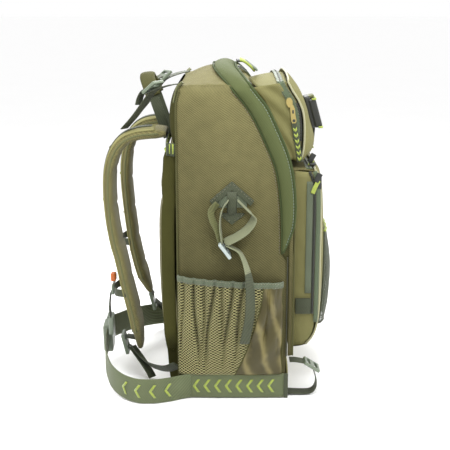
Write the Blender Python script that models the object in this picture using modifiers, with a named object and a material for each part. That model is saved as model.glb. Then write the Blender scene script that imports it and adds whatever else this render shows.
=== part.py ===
"""Tackle backpack: the bag, its pockets, harness, straps, buckles and zip sliders.

X is the width (-X is the wearer's left), -Y is the front, +Y is the side with the shoulder straps, +Z is up.
The origin is the centre of the base, on the floor. All sizes are in metres.
"""

import math

import bmesh
import bpy
from mathutils import Matrix, Vector

# Driving dimensions of the bag
HALF_WIDTH = 0.155          # to the outer face of a side panel
HEIGHT = 0.4575             # of the side panels at the back
BACK_Y = 0.0775             # outer face of the back panel
SEAM_Y = -0.0790            # side panels' front edge, where the main zip runs down
FRONT_Y = -0.0890           # outer face of the front panel
ZIP_END_Z = 0.0650          # lower ends of the main zip
RIB_END_Z = 0.2190          # lower tips of the padded rib
FABRIC = 0.0030             # lined, foamed panel
WEBBING = 0.0016            # thickness of all webbing
STRAP_WIDTH = 0.020
BELT_WIDTH = 0.038
GAP = 0.0004                # between pieces that touch

# Pockets
UPPER_HALF = 0.105
UPPER_HINGE = (-0.1000, 0.3450)
LOWER_HALF = 0.118
LOWER_TOP = 0.3350
LOWER_ZIP_Y = -0.1240
LOWER_HINGE = (-0.1170, 0.0760)
FRONT_HINGE = (-0.0860, 0.0635)
POCKET_TOP = 0.1800         # mouth of the side pockets
POCKET_DEPTH = 0.0170       # how far a side pocket stands off the side panel

# Harness
SHOULDER_X = 0.075
SHOULDER_WIDTH = 0.062
SHOULDER_THICK = 0.017
SHOULDER_HINGE = (0.0970, 0.3850)
LIFTER_HINGE = (0.0760, 0.4560)
HANDLE_HINGE = (0.0960, 0.3680)
BELT_HINGE = (0.1570, 0.0620)

# Outlines, as (y, z)
SIDE_FRONT = [(0.0020, 0.4545), (-0.0167, 0.4328), (-0.0308, 0.4108), (-0.0458, 0.3797),
              (-0.0611, 0.3424), (-0.0680, 0.3000), (-0.0705, 0.2600), (-0.0713, RIB_END_Z)]
RIB_FRONT = [(-0.0220, 0.4590), (-0.0378, 0.4418), (-0.0495, 0.4268), (-0.0634, 0.3975),
             (-0.0760, 0.3685), (-0.0827, 0.3470), (-0.0874, 0.3197), (-0.0890, 0.2850),
             (-0.0880, 0.2500), (-0.0800, 0.2280)]
FRONT_WALL = [(-0.0240, 0.4560), (-0.0378, 0.4418), (-0.0495, 0.4268), (-0.0634, 0.3975),
              (-0.0760, 0.3685), (-0.0827, 0.3470), (-0.0874, 0.3197), (-0.0890, 0.2850),
              (FRONT_Y, 0.2200), (FRONT_Y, 0.1400), (FRONT_Y, ZIP_END_Z)]
UPPER_EDGE = [(-0.0800, 0.4590), (-0.0872, 0.4457), (-0.0955, 0.4328), (-0.1019, 0.4169),
              (-0.1043, 0.3998), (-0.1047, 0.3795), (-0.1036, 0.3622), (-0.1000, 0.3460)]
UPPER_BULGE = [(-0.0810, 0.4680), (-0.0915, 0.4568), (-0.1015, 0.4416), (-0.1130, 0.4138),
               (-0.1189, 0.3920), (-0.1235, 0.3720), (-0.1190, 0.3560), (-0.1080, 0.3460)]

# The shoulder straps' centre lines (y, z), where their ladder locks are, and the lower webbing's route
SHOULDER_LINES = {
    "left": ([(0.0980, 0.3850), (0.1200, 0.3840), (0.1410, 0.3810), (0.1590, 0.3720), (0.1720, 0.3540),
              (0.1790, 0.3300), (0.1810, 0.3040), (0.1805, 0.2810), (0.1780, 0.2510), (0.1730, 0.2200),
              (0.1670, 0.1960), (0.1590, 0.1550), (0.1490, 0.1100), (0.1430, 0.0750), (0.1410, 0.0560)],
             0.1640, 0.0560,
             [(-0.1430, 0.0850, 0.0420), (-0.1310, 0.0990, 0.0345), (-0.1060, 0.1230, 0.0310),
              (-0.0880, 0.1420, 0.0360)]),
    "right": ([(0.0980, 0.3850), (0.1200, 0.3835), (0.1400, 0.3790), (0.1560, 0.3670), (0.1660, 0.3450),
               (0.1710, 0.3180), (0.1720, 0.2950), (0.1710, 0.2680), (0.1670, 0.2240), (0.1615, 0.1810),
               (0.1540, 0.1450), (0.1450, 0.1150), (0.1380, 0.0980)],
              0.1330, 0.0760,
              [(0.1430, 0.0850, 0.0480), (0.1310, 0.0940, 0.0460), (0.1080, 0.1070, 0.0500),
               (0.0900, 0.1160, 0.0540)]),
}

COLLECTION = bpy.data.collections.new("tackle_backpack")
CUTTERS = bpy.data.collections.new("cutters")


def clear_scene():
    for obj in list(bpy.data.objects):
        bpy.data.objects.remove(obj, do_unlink=True)
    for collection in (COLLECTION, CUTTERS):
        bpy.context.scene.collection.children.link(collection)
    CUTTERS.hide_render = True


def material(name, colour, roughness, metallic=0.0):
    made = bpy.data.materials.new(name)
    made.use_nodes = True
    shader = made.node_tree.nodes["Principled BSDF"]
    shader.inputs["Base Color"].default_value = (*colour, 1.0)
    shader.inputs["Roughness"].default_value = roughness
    shader.inputs["Metallic"].default_value = metallic
    return made


TWILL = material("olive_twill", (0.23, 0.20, 0.11), 0.80)
RIB = material("moss_twill", (0.12, 0.16, 0.06), 0.80)
PAD = material("spacer_mesh", (0.15, 0.15, 0.06), 0.90)
MESH = material("khaki_mesh", (0.45, 0.42, 0.25), 0.80)
TAPE = material("green_webbing", (0.12, 0.15, 0.09), 0.70)
PLASTIC = material("grey_green_plastic", (0.13, 0.16, 0.11), 0.40)
BLACK = material("black_plastic", (0.03, 0.03, 0.03), 0.40)
METAL = material("beige_puller", (0.55, 0.45, 0.17), 0.45)
BOARD = material("frame_plastic", (0.05, 0.05, 0.05), 0.60)


# ---- building blocks ----

def smooth(points, steps=3):
    """Points on a Catmull-Rom curve through the given ones, with steps stretches between each two."""
    knots = [Vector(point) for point in points]
    knots = [2 * knots[0] - knots[1], *knots, 2 * knots[-1] - knots[-2]]
    found = []
    for i in range(1, len(knots) - 2):
        a, b, c, d = knots[i - 1:i + 3]
        for step in range(steps):
            t = step / steps
            found.append(0.5 * (2 * b + (c - a) * t + (2 * a - 5 * b + 4 * c - d) * t * t
                                + (3 * b - a - 3 * c + d) * t ** 3))
    found.append(knots[-2])
    return found


def keep(obj, mat, origin):
    """Names the material, and puts the object's origin on its joint's axis."""
    COLLECTION.objects.link(obj)
    obj.data.materials.append(mat)
    if origin is not None:
        obj.data.transform(Matrix.Translation(-Vector(origin)))
        obj.location = origin
    return obj


def surface(name, rows, thickness, mat, origin=None, offset=0.0):
    """A sheet through rows of points, made solid by its thickness. Offset -1 grows it inwards."""
    mesh = bpy.data.meshes.new(name)
    bm = bmesh.new()
    grid = [[bm.verts.new(point) for point in row] for row in rows]
    for low, high in zip(grid, grid[1:]):
        for i in range(len(low) - 1):
            bm.faces.new((low[i], low[i + 1], high[i + 1], high[i]))
    bmesh.ops.recalc_face_normals(bm, faces=bm.faces)
    bm.to_mesh(mesh)
    bm.free()
    obj = keep(bpy.data.objects.new(name, mesh), mat, origin)
    shell = obj.modifiers.new("thickness", "SOLIDIFY")
    shell.thickness = thickness
    shell.offset = offset
    shell.use_even_offset = True
    return obj


def ribbon(name, path, across, width, thickness, mat, origin=None):
    """Webbing along a path. Across is the direction of its width, one for all points or one for each."""
    ways = across if isinstance(across, list) else [across] * len(path)
    halves = [Vector(way).normalized() * width / 2 for way in ways]
    rows = [[Vector(point) - half, Vector(point) + half] for point, half in zip(path, halves)]
    return surface(name, rows, thickness, mat, origin)


def slab(name, outline, x_low, x_high, mat, origin=None):
    """A flat piece with an outline of (y, z) points, from x_low to x_high."""
    curve = bpy.data.curves.new(name, "CURVE")
    curve.dimensions = "2D"
    curve.fill_mode = "BOTH"
    curve.extrude = (x_high - x_low) / 2
    spline = curve.splines.new("POLY")
    spline.points.add(len(outline) - 1)
    for point, (y, z) in zip(spline.points, outline):
        point.co = (y, z, 0.0, 1.0)
    spline.use_cyclic_u = True
    flat = bpy.data.objects.new(name + "_outline", curve)
    COLLECTION.objects.link(flat)
    mesh = bpy.data.meshes.new_from_object(flat.evaluated_get(bpy.context.evaluated_depsgraph_get()))
    bpy.data.objects.remove(flat, do_unlink=True)
    bm = bmesh.new()
    bm.from_mesh(mesh)
    bmesh.ops.remove_doubles(bm, verts=bm.verts, dist=1e-6)
    # Local X, Y, Z become the object's Y, Z, X.
    bmesh.ops.transform(bm, matrix=Matrix(((0, 0, 1, 0), (1, 0, 0, 0), (0, 1, 0, 0), (0, 0, 0, 1))),
                        verts=bm.verts)
    bmesh.ops.translate(bm, vec=((x_low + x_high) / 2, 0, 0), verts=bm.verts)
    bmesh.ops.recalc_face_normals(bm, faces=bm.faces)
    bm.to_mesh(mesh)
    bm.free()
    mesh.materials.clear()
    return keep(bpy.data.objects.new(name, mesh), mat, origin)


def block(name, centre, size, mat, origin=None, turn=None, bevel=0.0):
    """A box of the given size about its centre, turned by a matrix, with its edges rounded."""
    mesh = bpy.data.meshes.new(name)
    bm = bmesh.new()
    bmesh.ops.create_cube(bm, size=1.0)
    bmesh.ops.scale(bm, vec=size, verts=bm.verts)
    if turn is not None:
        bmesh.ops.transform(bm, matrix=turn.to_4x4(), verts=bm.verts)
    bmesh.ops.translate(bm, vec=centre, verts=bm.verts)
    bm.to_mesh(mesh)
    bm.free()
    obj = keep(bpy.data.objects.new(name, mesh), mat, origin)
    if bevel:
        rounded = obj.modifiers.new("rounded", "BEVEL")
        rounded.width = bevel
        rounded.segments = 2
    return obj


def combine(obj, other, operation):
    """Cuts other from obj, or joins it on, as a Boolean with other hidden."""
    COLLECTION.objects.unlink(other)
    CUTTERS.objects.link(other)
    other.hide_render = True
    other.display_type = "WIRE"
    boolean = obj.modifiers.new(other.name, "BOOLEAN")
    boolean.object = other
    boolean.operation = operation


def arch(u):
    """1 at the middle of the width, 0 at both edges; u runs from -1 to 1."""
    return 1.0 - u * u


def dome(name, edge, bulge, half_width, thickness, mat, origin=None, columns=9, steps=1):
    """A panel whose two sides follow edge and whose middle follows bulge, both lists of (y, z)."""
    rows = []
    for (y0, z0), (y1, z1) in zip(smooth([(y, z) for y, z in edge], steps),
                                  smooth([(y, z) for y, z in bulge], steps)):
        row = []
        for i in range(columns):
            u = 2 * i / (columns - 1) - 1
            rise = math.sqrt(arch(u))
            row.append((u * half_width, y0 + (y1 - y0) * rise, z0 + (z1 - z0) * rise))
        rows.append(row)
    return surface(name, rows, thickness, mat, origin)


def both_sides():
    return (("left", -1), ("right", 1))


# ---- the bag ----

def bag_shell():
    inner = HALF_WIDTH - FABRIC - GAP
    block("base_panel", (0, (BACK_Y + SEAM_Y) / 2, 0.002), (2 * HALF_WIDTH, BACK_Y - SEAM_Y, 0.004), TWILL)
    outline = [(BACK_Y, 0.0044), (BACK_Y, 0.4275), (0.0700, HEIGHT), *SIDE_FRONT,
               (SEAM_Y, RIB_END_Z - 0.001), (SEAM_Y, 0.0044)]
    for side, sign in both_sides():
        edges = sorted((sign * HALF_WIDTH, sign * (HALF_WIDTH - FABRIC)))
        slab(f"side_panel_{side}", outline, *edges, TWILL)
    back_mid = BACK_Y - FABRIC / 2
    block("back_panel", (0, back_mid, 0.216), (2 * inner, FABRIC, 0.4232), TWILL)
    block("frame_sheet", (0, BACK_Y - 0.0055, 0.210), (0.270, 0.0020, 0.380), BOARD)
    rows = []
    stations = ((0.0, 0.0755, 0.4285), (0.1, 0.0700, 0.4540), (0.5, None, None), (1.0, None, None))
    for t, y_back, z_back in stations:
        row = []
        for i in range(9):
            u = 2 * i / 8 - 1
            y_front = 0.0030 + 0.0280 * arch(u)
            y = y_back if y_back is not None else 0.0700 + (y_front - 0.0700) * t
            z = z_back if z_back is not None else 0.4540 + 0.0210 * arch(u) * t
            row.append((u * (inner - 0.0002), y, z))
        rows.append(row)
    surface("top_panel", rows, 0.0024, TWILL)
    block("front_sill", (0, SEAM_Y + FABRIC / 2, 0.0335), (2 * inner, FABRIC, 0.0580), TWILL)


def rib():
    """The padded band along the main zip: up one side, over the top and down the other."""
    back = [(y - 0.0006, z) for y, z in SIDE_FRONT[1:]]
    outline = [*back, *reversed(RIB_FRONT[1:])]
    for side, sign in both_sides():
        edges = sorted((sign * (HALF_WIDTH + 0.004), sign * (HALF_WIDTH - 0.006)))
        slab(f"flap_pad_{side}", outline, *edges, RIB)
    rows = []
    half = HALF_WIDTH - 0.0005
    for i in range(13):
        u = 2 * i / 12 - 1
        rise = arch(u)
        back_edge = Vector((u * half, 0.0010 + 0.0280 * rise, 0.4640 + 0.0120 * rise))
        front_edge = Vector((u * half, -0.0230 + 0.0180 * rise, 0.4600 + 0.0150 * rise))
        rows.append([back_edge, front_edge])
    surface("flap_pad_top", rows, 0.0110, RIB)


def back_padding():
    face = [(0.0945, 0.3560), (0.1036, 0.3150), (0.1009, 0.2960), (0.1074, 0.2580), (0.1080, 0.2120),
            (0.1078, 0.1750), (0.1050, 0.1170), (0.1000, 0.0780), (0.0880, 0.0120)]
    slab("back_pad", [(BACK_Y + GAP, 0.0120), (BACK_Y + GAP, 0.3560), *face], -0.118, 0.118, PAD)
    slab("back_yoke", [(BACK_Y + GAP, 0.3575), (BACK_Y + GAP, 0.4160), (0.0940, 0.4160), (0.0955, 0.3575)],
         -0.120, 0.120, TWILL)


def side_pocket(side, sign):
    """A gathered mesh pocket that stands off the side panel and is open at its top."""
    top, bottom = POCKET_TOP, 0.0400
    rows = []
    for j in range(6):
        v = j / 5
        z = bottom + (top - bottom) * v
        row = []
        for i in range(9):
            u = 2 * i / 8 - 1
            y = 0.0760 - (0.0760 + 0.0740) * (i / 8)
            fullness = 0.25 + 0.75 * math.sin(0.5 * math.pi * min(1.0, 1.6 * v))
            out = POCKET_DEPTH * math.sqrt(arch(u)) * fullness
            row.append((sign * (HALF_WIDTH + 0.0014 + out), y, z))
        rows.append(row)
    surface(f"mesh_pocket_{side}", rows, 0.0018, MESH)


# ---- the front panel and its pockets ----

def front_panel():
    rows = []
    for y, z in FRONT_WALL:
        half = HALF_WIDTH - 0.0005 if z < RIB_END_Z - 0.001 else HALF_WIDTH - 0.0075
        lift = max(0.0, (z - 0.4268) / (0.4560 - 0.4268))
        row = []
        for i in range(9):
            u = 2 * i / 8 - 1
            rise = arch(u) * lift
            row.append((u * half, y + 0.0030 + 0.0170 * rise, z - 0.0010 + 0.0080 * rise))
        rows.append(row)
    surface("front_panel", rows, 0.0056, TWILL, (0, *FRONT_HINGE))


def wall_front(offset):
    """The front panel's outer face in side view, moved forward by offset."""
    return [(y - offset, z) for y, z in FRONT_WALL]


def upper_pocket():
    hinge = (0, *FRONT_HINGE)
    behind = [(y, z) for y, z in wall_front(0.0012) if 0.345 < z < 0.44]
    edge = [(y + 0.0030, z) for y, z in UPPER_EDGE[1:]]
    outline = [*behind, (-0.0836, 0.3450), *reversed(edge)]
    for side, sign in both_sides():
        edges = sorted((sign * UPPER_HALF, sign * (UPPER_HALF - 0.0025)))
        slab(f"upper_gusset_{side}", outline, *edges, TWILL, hinge)
    rows = []
    for t in (0.0, 0.5, 1.0):
        row = []
        for i in range(9):
            u = 2 * i / 8 - 1
            row.append((u * (UPPER_HALF - 0.0032), -0.0420 - 0.0350 * t + 0.0150 * arch(u) * (1 - t),
                        0.4460 + 0.0090 * arch(u) + 0.0080 * t))
        rows.append(row)
    surface("upper_gusset_top", rows, 0.0024, TWILL, hinge)
    cover_hinge = (0, *UPPER_HINGE)
    dome("upper_cover", UPPER_EDGE, UPPER_BULGE, UPPER_HALF + 0.003, 0.0026, TWILL, cover_hinge)
    lean = Matrix.Rotation(math.radians(-16), 3, "X")
    block("strap_holder", (0, -0.1285, 0.4050), (0.034, 0.012, 0.046), BLACK, cover_hinge, lean, 0.003)


def lower_pocket():
    hinge = (0, *FRONT_HINGE)
    back = FRONT_Y - 0.0006
    outline = [(back, 0.0660), (-0.1040, 0.0710), (-0.1165, 0.0790), (-0.1225, 0.0950),
               (LOWER_ZIP_Y, 0.1200),
               (LOWER_ZIP_Y, 0.3200), (-0.1190, 0.3320), (back, LOWER_TOP)]
    for side, sign in both_sides():
        edges = sorted((sign * LOWER_HALF, sign * (LOWER_HALF - 0.0025)))
        slab(f"lower_gusset_{side}", outline, *edges, TWILL, hinge)
    inner = LOWER_HALF - 0.0030
    floor = [(-inner, back - 0.0008, 0.0675), (-inner, -0.1035, 0.0725), (-inner, -0.1130, 0.0780)]
    roof = [(-inner, back - 0.0008, 0.3335), (-inner, -0.1040, 0.3332), (-inner, -0.1185, 0.3305)]
    for name, line in (("lower_gusset_bottom", floor), ("lower_gusset_top", roof)):
        rows = [[Vector(point), Vector(point) + Vector((2 * inner, 0, 0))] for point in line]
        surface(name, rows, 0.0024, TWILL, hinge)
    cover_hinge = (0, *LOWER_HINGE)
    edge = [(-0.1190, 0.0800), (-0.1270, 0.1000), (-0.1285, 0.1300), (-0.1285, 0.2000), (-0.1285, 0.2600),
            (-0.1280, 0.3050), (-0.1255, 0.3260), (-0.1215, 0.3350)]
    bulge = [(-0.1215, 0.0800), (-0.1310, 0.1000), (-0.1360, 0.1300), (-0.1390, 0.2000), (-0.1385, 0.2600),
             (-0.1345, 0.3050), (-0.1290, 0.3270), (-0.1225, 0.3360)]
    dome("lower_cover", edge, bulge, LOWER_HALF, 0.0026, TWILL, cover_hinge)
    sides = [(-0.1330, 0.0900), (-0.1385, 0.1200), (-0.1400, 0.1700), (-0.1400, 0.2340)]
    middle = [(-0.1480, 0.0880), (-0.1540, 0.1200), (-0.1556, 0.1780), (-0.1480, 0.2340)]
    dome("front_pouch", sides, middle, 0.078, 0.0018, MESH, cover_hinge, columns=9)


# ---- zip sliders ----

def zip_sliders():
    for side, sign in both_sides():
        x = sign * 0.013
        block(f"main_slider_{side}", (x, -0.0135, 0.4835), (0.010, 0.012, 0.0035), BLACK, None, None, 0.001)
        axis = (x, -0.0205, 0.4840)
        lean = Matrix.Rotation(math.radians(38), 3, "X")
        block(f"main_pull_{side}", (x, -0.0300, 0.4765), (0.012, 0.024, 0.003), PLASTIC, axis, lean, 0.001)
    x = -UPPER_HALF - 0.0050
    block("upper_slider", (x, -0.0815, 0.4310), (0.003, 0.009, 0.010), METAL, None, None, 0.0008)
    lean = Matrix.Rotation(math.radians(-11), 3, "X")
    block("upper_pull", (x - 0.0005, -0.0908, 0.3830), (0.002, 0.007, 0.080), METAL,
          (x - 0.0005, -0.0825, 0.4240), lean, 0.0006)
    block("lower_slider_left", (-LOWER_HALF - 0.0022, -0.1250, 0.3160), (0.003, 0.009, 0.018), BLACK,
          None, None, 0.0008)
    block("lower_slider_right", (-0.0950, -0.1180, 0.3400), (0.018, 0.009, 0.003), BLACK, None, None, 0.0008)


# ---- straps on the bag ----

def ladder_lock(name, centre, size, turn, mat, origin):
    """A flat frame with two slots, width along its local X."""
    lock = block(name, centre, size, mat, origin, turn, min(size) * 0.2)
    for step in (-1, 1):
        offset = turn @ Vector((0, 0, step * size[2] * 0.24))
        slot = block(f"{name}_slot_{step}", Vector(centre) + offset,
                     (size[0] * 0.74, size[1] * 3, size[2] * 0.22), mat, origin, turn)
        combine(lock, slot, "DIFFERENCE")
    return lock


def rod_strap(side, sign):
    """A loop of webbing on the side for rods, its ladder lock and its hanging tail."""
    x = sign * (HALF_WIDTH + 0.0145)
    hinge = (sign * (HALF_WIDTH + 0.0015), 0, 0.2980)
    loop = [(0.0120, 0.2985), (0.0290, 0.2860), (0.0335, 0.2730), (0.0280, 0.2590), (0.0170, 0.2475),
            (0.0060, 0.2450), (-0.0180, 0.2570), (-0.0310, 0.2680), (-0.0335, 0.2780), (-0.0280, 0.2890),
            (-0.0120, 0.2990)]
    path = [Vector((x, y, z)) for y, z in (point[:2] for point in smooth([(y, z, 0) for y, z in loop], 2))]
    band = ribbon(f"rod_strap_{side}", path, Vector((1, 0, 0)), STRAP_WIDTH, WEBBING, TAPE, hinge)
    tail = [(x, 0.0065, 0.2455), (x, -0.0040, 0.2290), (x + sign * 0.006, -0.0170, 0.2130),
            (x + sign * 0.010, -0.0240, 0.1880), (x + sign * 0.011, -0.0262, 0.1600),
            (x + sign * 0.011, -0.0240, 0.1300), (x + sign * 0.010, -0.0150, 0.0930)]
    ways = [(1, 0, 0), (1, 0.1, 0), (0.8, 0.6, 0.0), (0.45, 0.9, 0.0), (0.3, 1, 0), (0.2, 1, -0.1),
            (0.1, 1, -0.25)]
    points = smooth(tail, 3)
    across = smooth([(sign * a, b, c) for a, b, c in ways], 3)
    hanging = ribbon(f"rod_tail_{side}", points, across, STRAP_WIDTH, WEBBING, TAPE, hinge)
    combine(band, hanging, "UNION")
    turn = Matrix.Rotation(math.radians(-37), 3, "X")
    # The lock's face lies across the loop, just below the place where the two arms meet.
    ladder_lock(f"rod_lock_{side}", (x, 0.0100, 0.2300), (0.026, 0.0045, 0.026), turn, PLASTIC, hinge)


def bottom_strap(side, sign):
    x = sign * 0.140
    low = [(x, SEAM_Y - 0.0014, 0.0030), (x, -0.1000, 0.0018), (x, -0.1180, 0.0030), (x, -0.1260, 0.0110),
           (x, -0.1262, 0.0220), (x, -0.1230, 0.0300)]
    ribbon(f"bottom_web_{side}", smooth(low, 2), Vector((1, 0, 0)), STRAP_WIDTH, WEBBING, TAPE)
    turn = Matrix.Rotation(math.radians(-58), 3, "X")
    ladder_lock(f"bottom_lock_{side}", (x, -0.1190, 0.0450), (0.026, 0.0045, 0.026), turn, PLASTIC,
                (x, -0.1050, 0.0500))


# ---- harness ----

def shoulder_strap(side, sign):
    line, lock_y, lock_z, web = SHOULDER_LINES[side]
    x = sign * SHOULDER_X
    path = [Vector((x, y, z)) for y, z, *_ in smooth([(y, z, 0) for y, z in line], 2)]
    hinge = (x, *SHOULDER_HINGE)
    strap = ribbon(f"shoulder_strap_{side}", path, Vector((1, 0, 0)), SHOULDER_WIDTH, SHOULDER_THICK, PAD,
                   hinge)
    rounded = strap.modifiers.new("rounded", "BEVEL")
    rounded.width = 0.0045
    rounded.segments = 1
    turn = Matrix.Rotation(math.radians(-14), 3, "X")
    ladder_lock(f"shoulder_lock_{side}", (x, lock_y, lock_z), (0.028, 0.0050, 0.032), turn, PLASTIC,
                (x, lock_y - 0.0040, lock_z + 0.0180))
    path = smooth(web, 2)
    ribbon(f"anchor_web_{side}", path, Vector((sign * 0.45, 0.35, 0.8)), STRAP_WIDTH, WEBBING, TAPE, web[0])


def load_lifter(side, sign):
    hinge = (sign * 0.130, *LIFTER_HINGE)
    web = [(sign * 0.1280, 0.0775, 0.4550), (sign * 0.1130, 0.0980, 0.4500), (sign * 0.1020, 0.1160, 0.4390),
           (sign * 0.0900, 0.1400, 0.4120), (sign * 0.0840, 0.1560, 0.3960)]
    path = smooth(web, 2)
    ribbon(f"lifter_web_{side}", path, Vector((1, sign * 0.55, 0)), STRAP_WIDTH, WEBBING, TAPE, hinge)
    turn = Matrix.Rotation(math.radians(sign * 30), 3, "Z") @ Matrix.Rotation(math.radians(52), 3, "X")
    ladder_lock(f"lifter_lock_{side}", (sign * 0.1080, 0.1120, 0.4520), (0.026, 0.0045, 0.026), turn,
                PLASTIC, hinge)


def sternum_strap():
    x = -SHOULDER_X
    hinge = (x, 0.1850, 0.1370)
    line = [(x, 0.1850, 0.1350), (x, 0.1870, 0.1140), (x, 0.1860, 0.1000)]
    ribbon("sternum_web_left", smooth(line, 2), Vector((1, 0, 0)), STRAP_WIDTH, WEBBING, TAPE, hinge)
    block("sternum_plug", (x, 0.1850, 0.0850), (0.022, 0.007, 0.028), PLASTIC, hinge, None, 0.0015)
    x = SHOULDER_X
    block("sternum_socket", (x, 0.1850, 0.1560), (0.024, 0.009, 0.036), PLASTIC, (x, 0.1850, 0.1750), None,
          0.002)


def grab_handle():
    """A padded loop of webbing for lifting, sewn on at both ends."""
    curve = bpy.data.curves.new("grab_handle", "CURVE")
    curve.dimensions = "3D"
    curve.bevel_depth = 0.0060
    curve.bevel_resolution = 2
    curve.use_fill_caps = True
    points = smooth([(-0.0290, 0.1030, 0.3700), (-0.0320, 0.1080, 0.4050), (-0.0290, 0.1200, 0.4400),
                     (-0.0150, 0.1270, 0.4570), (0.0, 0.1280, 0.4620), (0.0150, 0.1270, 0.4570),
                     (0.0290, 0.1200, 0.4400), (0.0320, 0.1080, 0.4050), (0.0290, 0.1030, 0.3700)], 2)
    spline = curve.splines.new("POLY")
    spline.points.add(len(points) - 1)
    for point, place in zip(spline.points, points):
        point.co = (*place, 1.0)
    keep(bpy.data.objects.new("grab_handle", curve), TAPE, (0, *HANDLE_HINGE))


def waist_belt():
    routes = {
        "left": [(-0.1575, 0.0640, 0.0195), (-0.1700, 0.0860, 0.0195), (-0.1790, 0.1120, 0.0195),
                 (-0.1780, 0.1370, 0.0197), (-0.1640, 0.1600, 0.0215), (-0.1400, 0.1790, 0.0270),
                 (-0.1080, 0.1905, 0.0370), (-0.0780, 0.1945, 0.0470), (-0.0590, 0.1945, 0.0520)],
        "right": [(0.1575, 0.0640, 0.0195), (0.1590, 0.0860, 0.0200), (0.1480, 0.1120, 0.0260),
                  (0.1200, 0.1380, 0.0330), (0.0880, 0.1570, 0.0400), (0.0520, 0.1730, 0.0470),
                  (0.0200, 0.1850, 0.0520), (0.0040, 0.1905, 0.0540)],
    }
    for side, sign in both_sides():
        ribbon(f"belt_wing_{side}", smooth(routes[side], 2), Vector((0, 0, 1)), BELT_WIDTH, WEBBING, TAPE,
               (sign * BELT_HINGE[0], BELT_HINGE[1], 0.0195))
    lean = Matrix.Rotation(math.radians(-8), 3, "Y")
    left_hinge = (-BELT_HINGE[0], BELT_HINGE[1], 0.0195)
    socket = block("waist_socket", (-0.0400, 0.1945, 0.0545), (0.030, 0.015, 0.046), PLASTIC, left_hinge,
                   lean, 0.003)
    mouth = block("waist_socket_mouth", (-0.0340, 0.1945, 0.0545), (0.030, 0.0100, 0.036), PLASTIC,
                  left_hinge, lean)
    combine(socket, mouth, "DIFFERENCE")
    plug = block("waist_plug", (-0.0110, 0.1945, 0.0580), (0.020, 0.011, 0.044), PLASTIC, None, lean, 0.002)
    prong = block("waist_plug_prong", (-0.0300, 0.1945, 0.0558), (0.030, 0.0040, 0.026), PLASTIC, None, lean)
    combine(plug, prong, "UNION")


def build():
    clear_scene()
    bag_shell()
    rib()
    back_padding()
    front_panel()
    upper_pocket()
    lower_pocket()
    zip_sliders()
    for side, sign in both_sides():
        side_pocket(side, sign)
        rod_strap(side, sign)
        bottom_strap(side, sign)
        shoulder_strap(side, sign)
        load_lifter(side, sign)
    sternum_strap()
    grab_handle()
    waist_belt()


build()
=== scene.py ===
"""Looks of the tackle backpack. X is the width (-X the wearer's left), -Y the front, +Z up, in metres."""

from math import copysign, cos, exp, pi, radians, sin

import bmesh
import bpy
from mathutils import Matrix, Vector


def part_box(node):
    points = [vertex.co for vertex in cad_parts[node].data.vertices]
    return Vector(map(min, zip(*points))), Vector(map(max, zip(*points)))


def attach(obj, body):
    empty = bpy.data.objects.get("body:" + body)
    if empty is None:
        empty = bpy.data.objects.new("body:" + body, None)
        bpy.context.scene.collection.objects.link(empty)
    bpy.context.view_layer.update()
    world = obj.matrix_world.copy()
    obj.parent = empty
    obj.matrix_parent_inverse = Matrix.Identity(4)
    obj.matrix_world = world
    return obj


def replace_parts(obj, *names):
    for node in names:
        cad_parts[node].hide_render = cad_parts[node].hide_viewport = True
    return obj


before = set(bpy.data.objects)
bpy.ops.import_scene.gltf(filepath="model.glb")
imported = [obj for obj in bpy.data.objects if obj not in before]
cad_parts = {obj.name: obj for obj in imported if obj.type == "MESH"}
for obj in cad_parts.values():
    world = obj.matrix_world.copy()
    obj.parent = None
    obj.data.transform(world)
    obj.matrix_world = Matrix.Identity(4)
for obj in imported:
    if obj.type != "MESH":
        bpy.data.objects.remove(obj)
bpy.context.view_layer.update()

# Sizes shared with the CAD model
HALF = 0.155                # half the width, to the side panels' outer faces
SIDE_TOP = 0.4575           # the side panels' upper edge
BACK_Y = 0.0775             # the side panels' back edge
SEAM_Y = -0.079             # the seam of the main zip
FRONT_Y = -0.089            # the front panel's outer face
RIB_END = 0.219             # the lower ends of the padded rib
PAD_Y = 0.0785              # the back panel's face under the pads
UPPER_HALF = 0.105          # half the width of the upper pocket's box
LOWER_HALF = 0.118          # half the width of the lower pocket's box
STRAP_X = 0.075             # from the middle to each shoulder strap
STRAP = 0.02                # the width of the webbing
WEB = 0.0016                # its thickness
BELT = 0.038                # the width of the belt's webbing
BELT_Z = 0.0195             # the height of its middle where it is sewn on
SIDES = (("left", -1), ("right", 1))


def mm(*points):
    """Points written in millimetres, as metres."""
    return [tuple(value / 1000 for value in point) for point in points]


def on_side(sign, *points):
    """The same, with X written as the distance from the middle."""
    return [(sign * x, y, z) for x, y, z in mm(*points)]


# Outlines, as (y, z)
SIDE_FRONT = mm((-2, 450), (-16.7, 432.8), (-30.8, 410.8), (-45.8, 379.7), (-61.1, 342.4), (-68, 300), (-70.5, 260),
                (-71.3, 219))
RIB_FRONT = mm((-27.1, 455.8), (-37.8, 441.8), (-49.5, 426.8), (-63.4, 397.5), (-76, 368.5), (-82.7, 347),
               (-87.4, 319.7), (-89.6, 292.1), (-89.3, 276), (-87.4, 258.5), (-81.6, 241.7), (-73, 221.5))
FRONT_WALL = [(-0.024, 0.456)] + RIB_FRONT[1:7] + mm((-89, 285), (-89, 220), (-89, 140), (-89, 65))
UPPER_EDGE = mm((-80, 459), (-87.2, 445.7), (-95.5, 432.8), (-101.9, 416.9), (-104.3, 399.8), (-104.7, 379.5),
                (-103.6, 362.2), (-100, 346))
UPPER_BULGE = mm((-81, 469), (-91.5, 456.8), (-101.5, 441.6), (-113, 413.8), (-118.9, 392), (-124.5, 370),
                 (-120, 353), (-108, 344))
LOWER_EDGE = mm((-112, 70), (-121.5, 82), (-127.5, 100), (-130, 130), (-130, 200), (-130, 260), (-129, 305),
                (-125.5, 327), (-120, 335))
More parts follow.
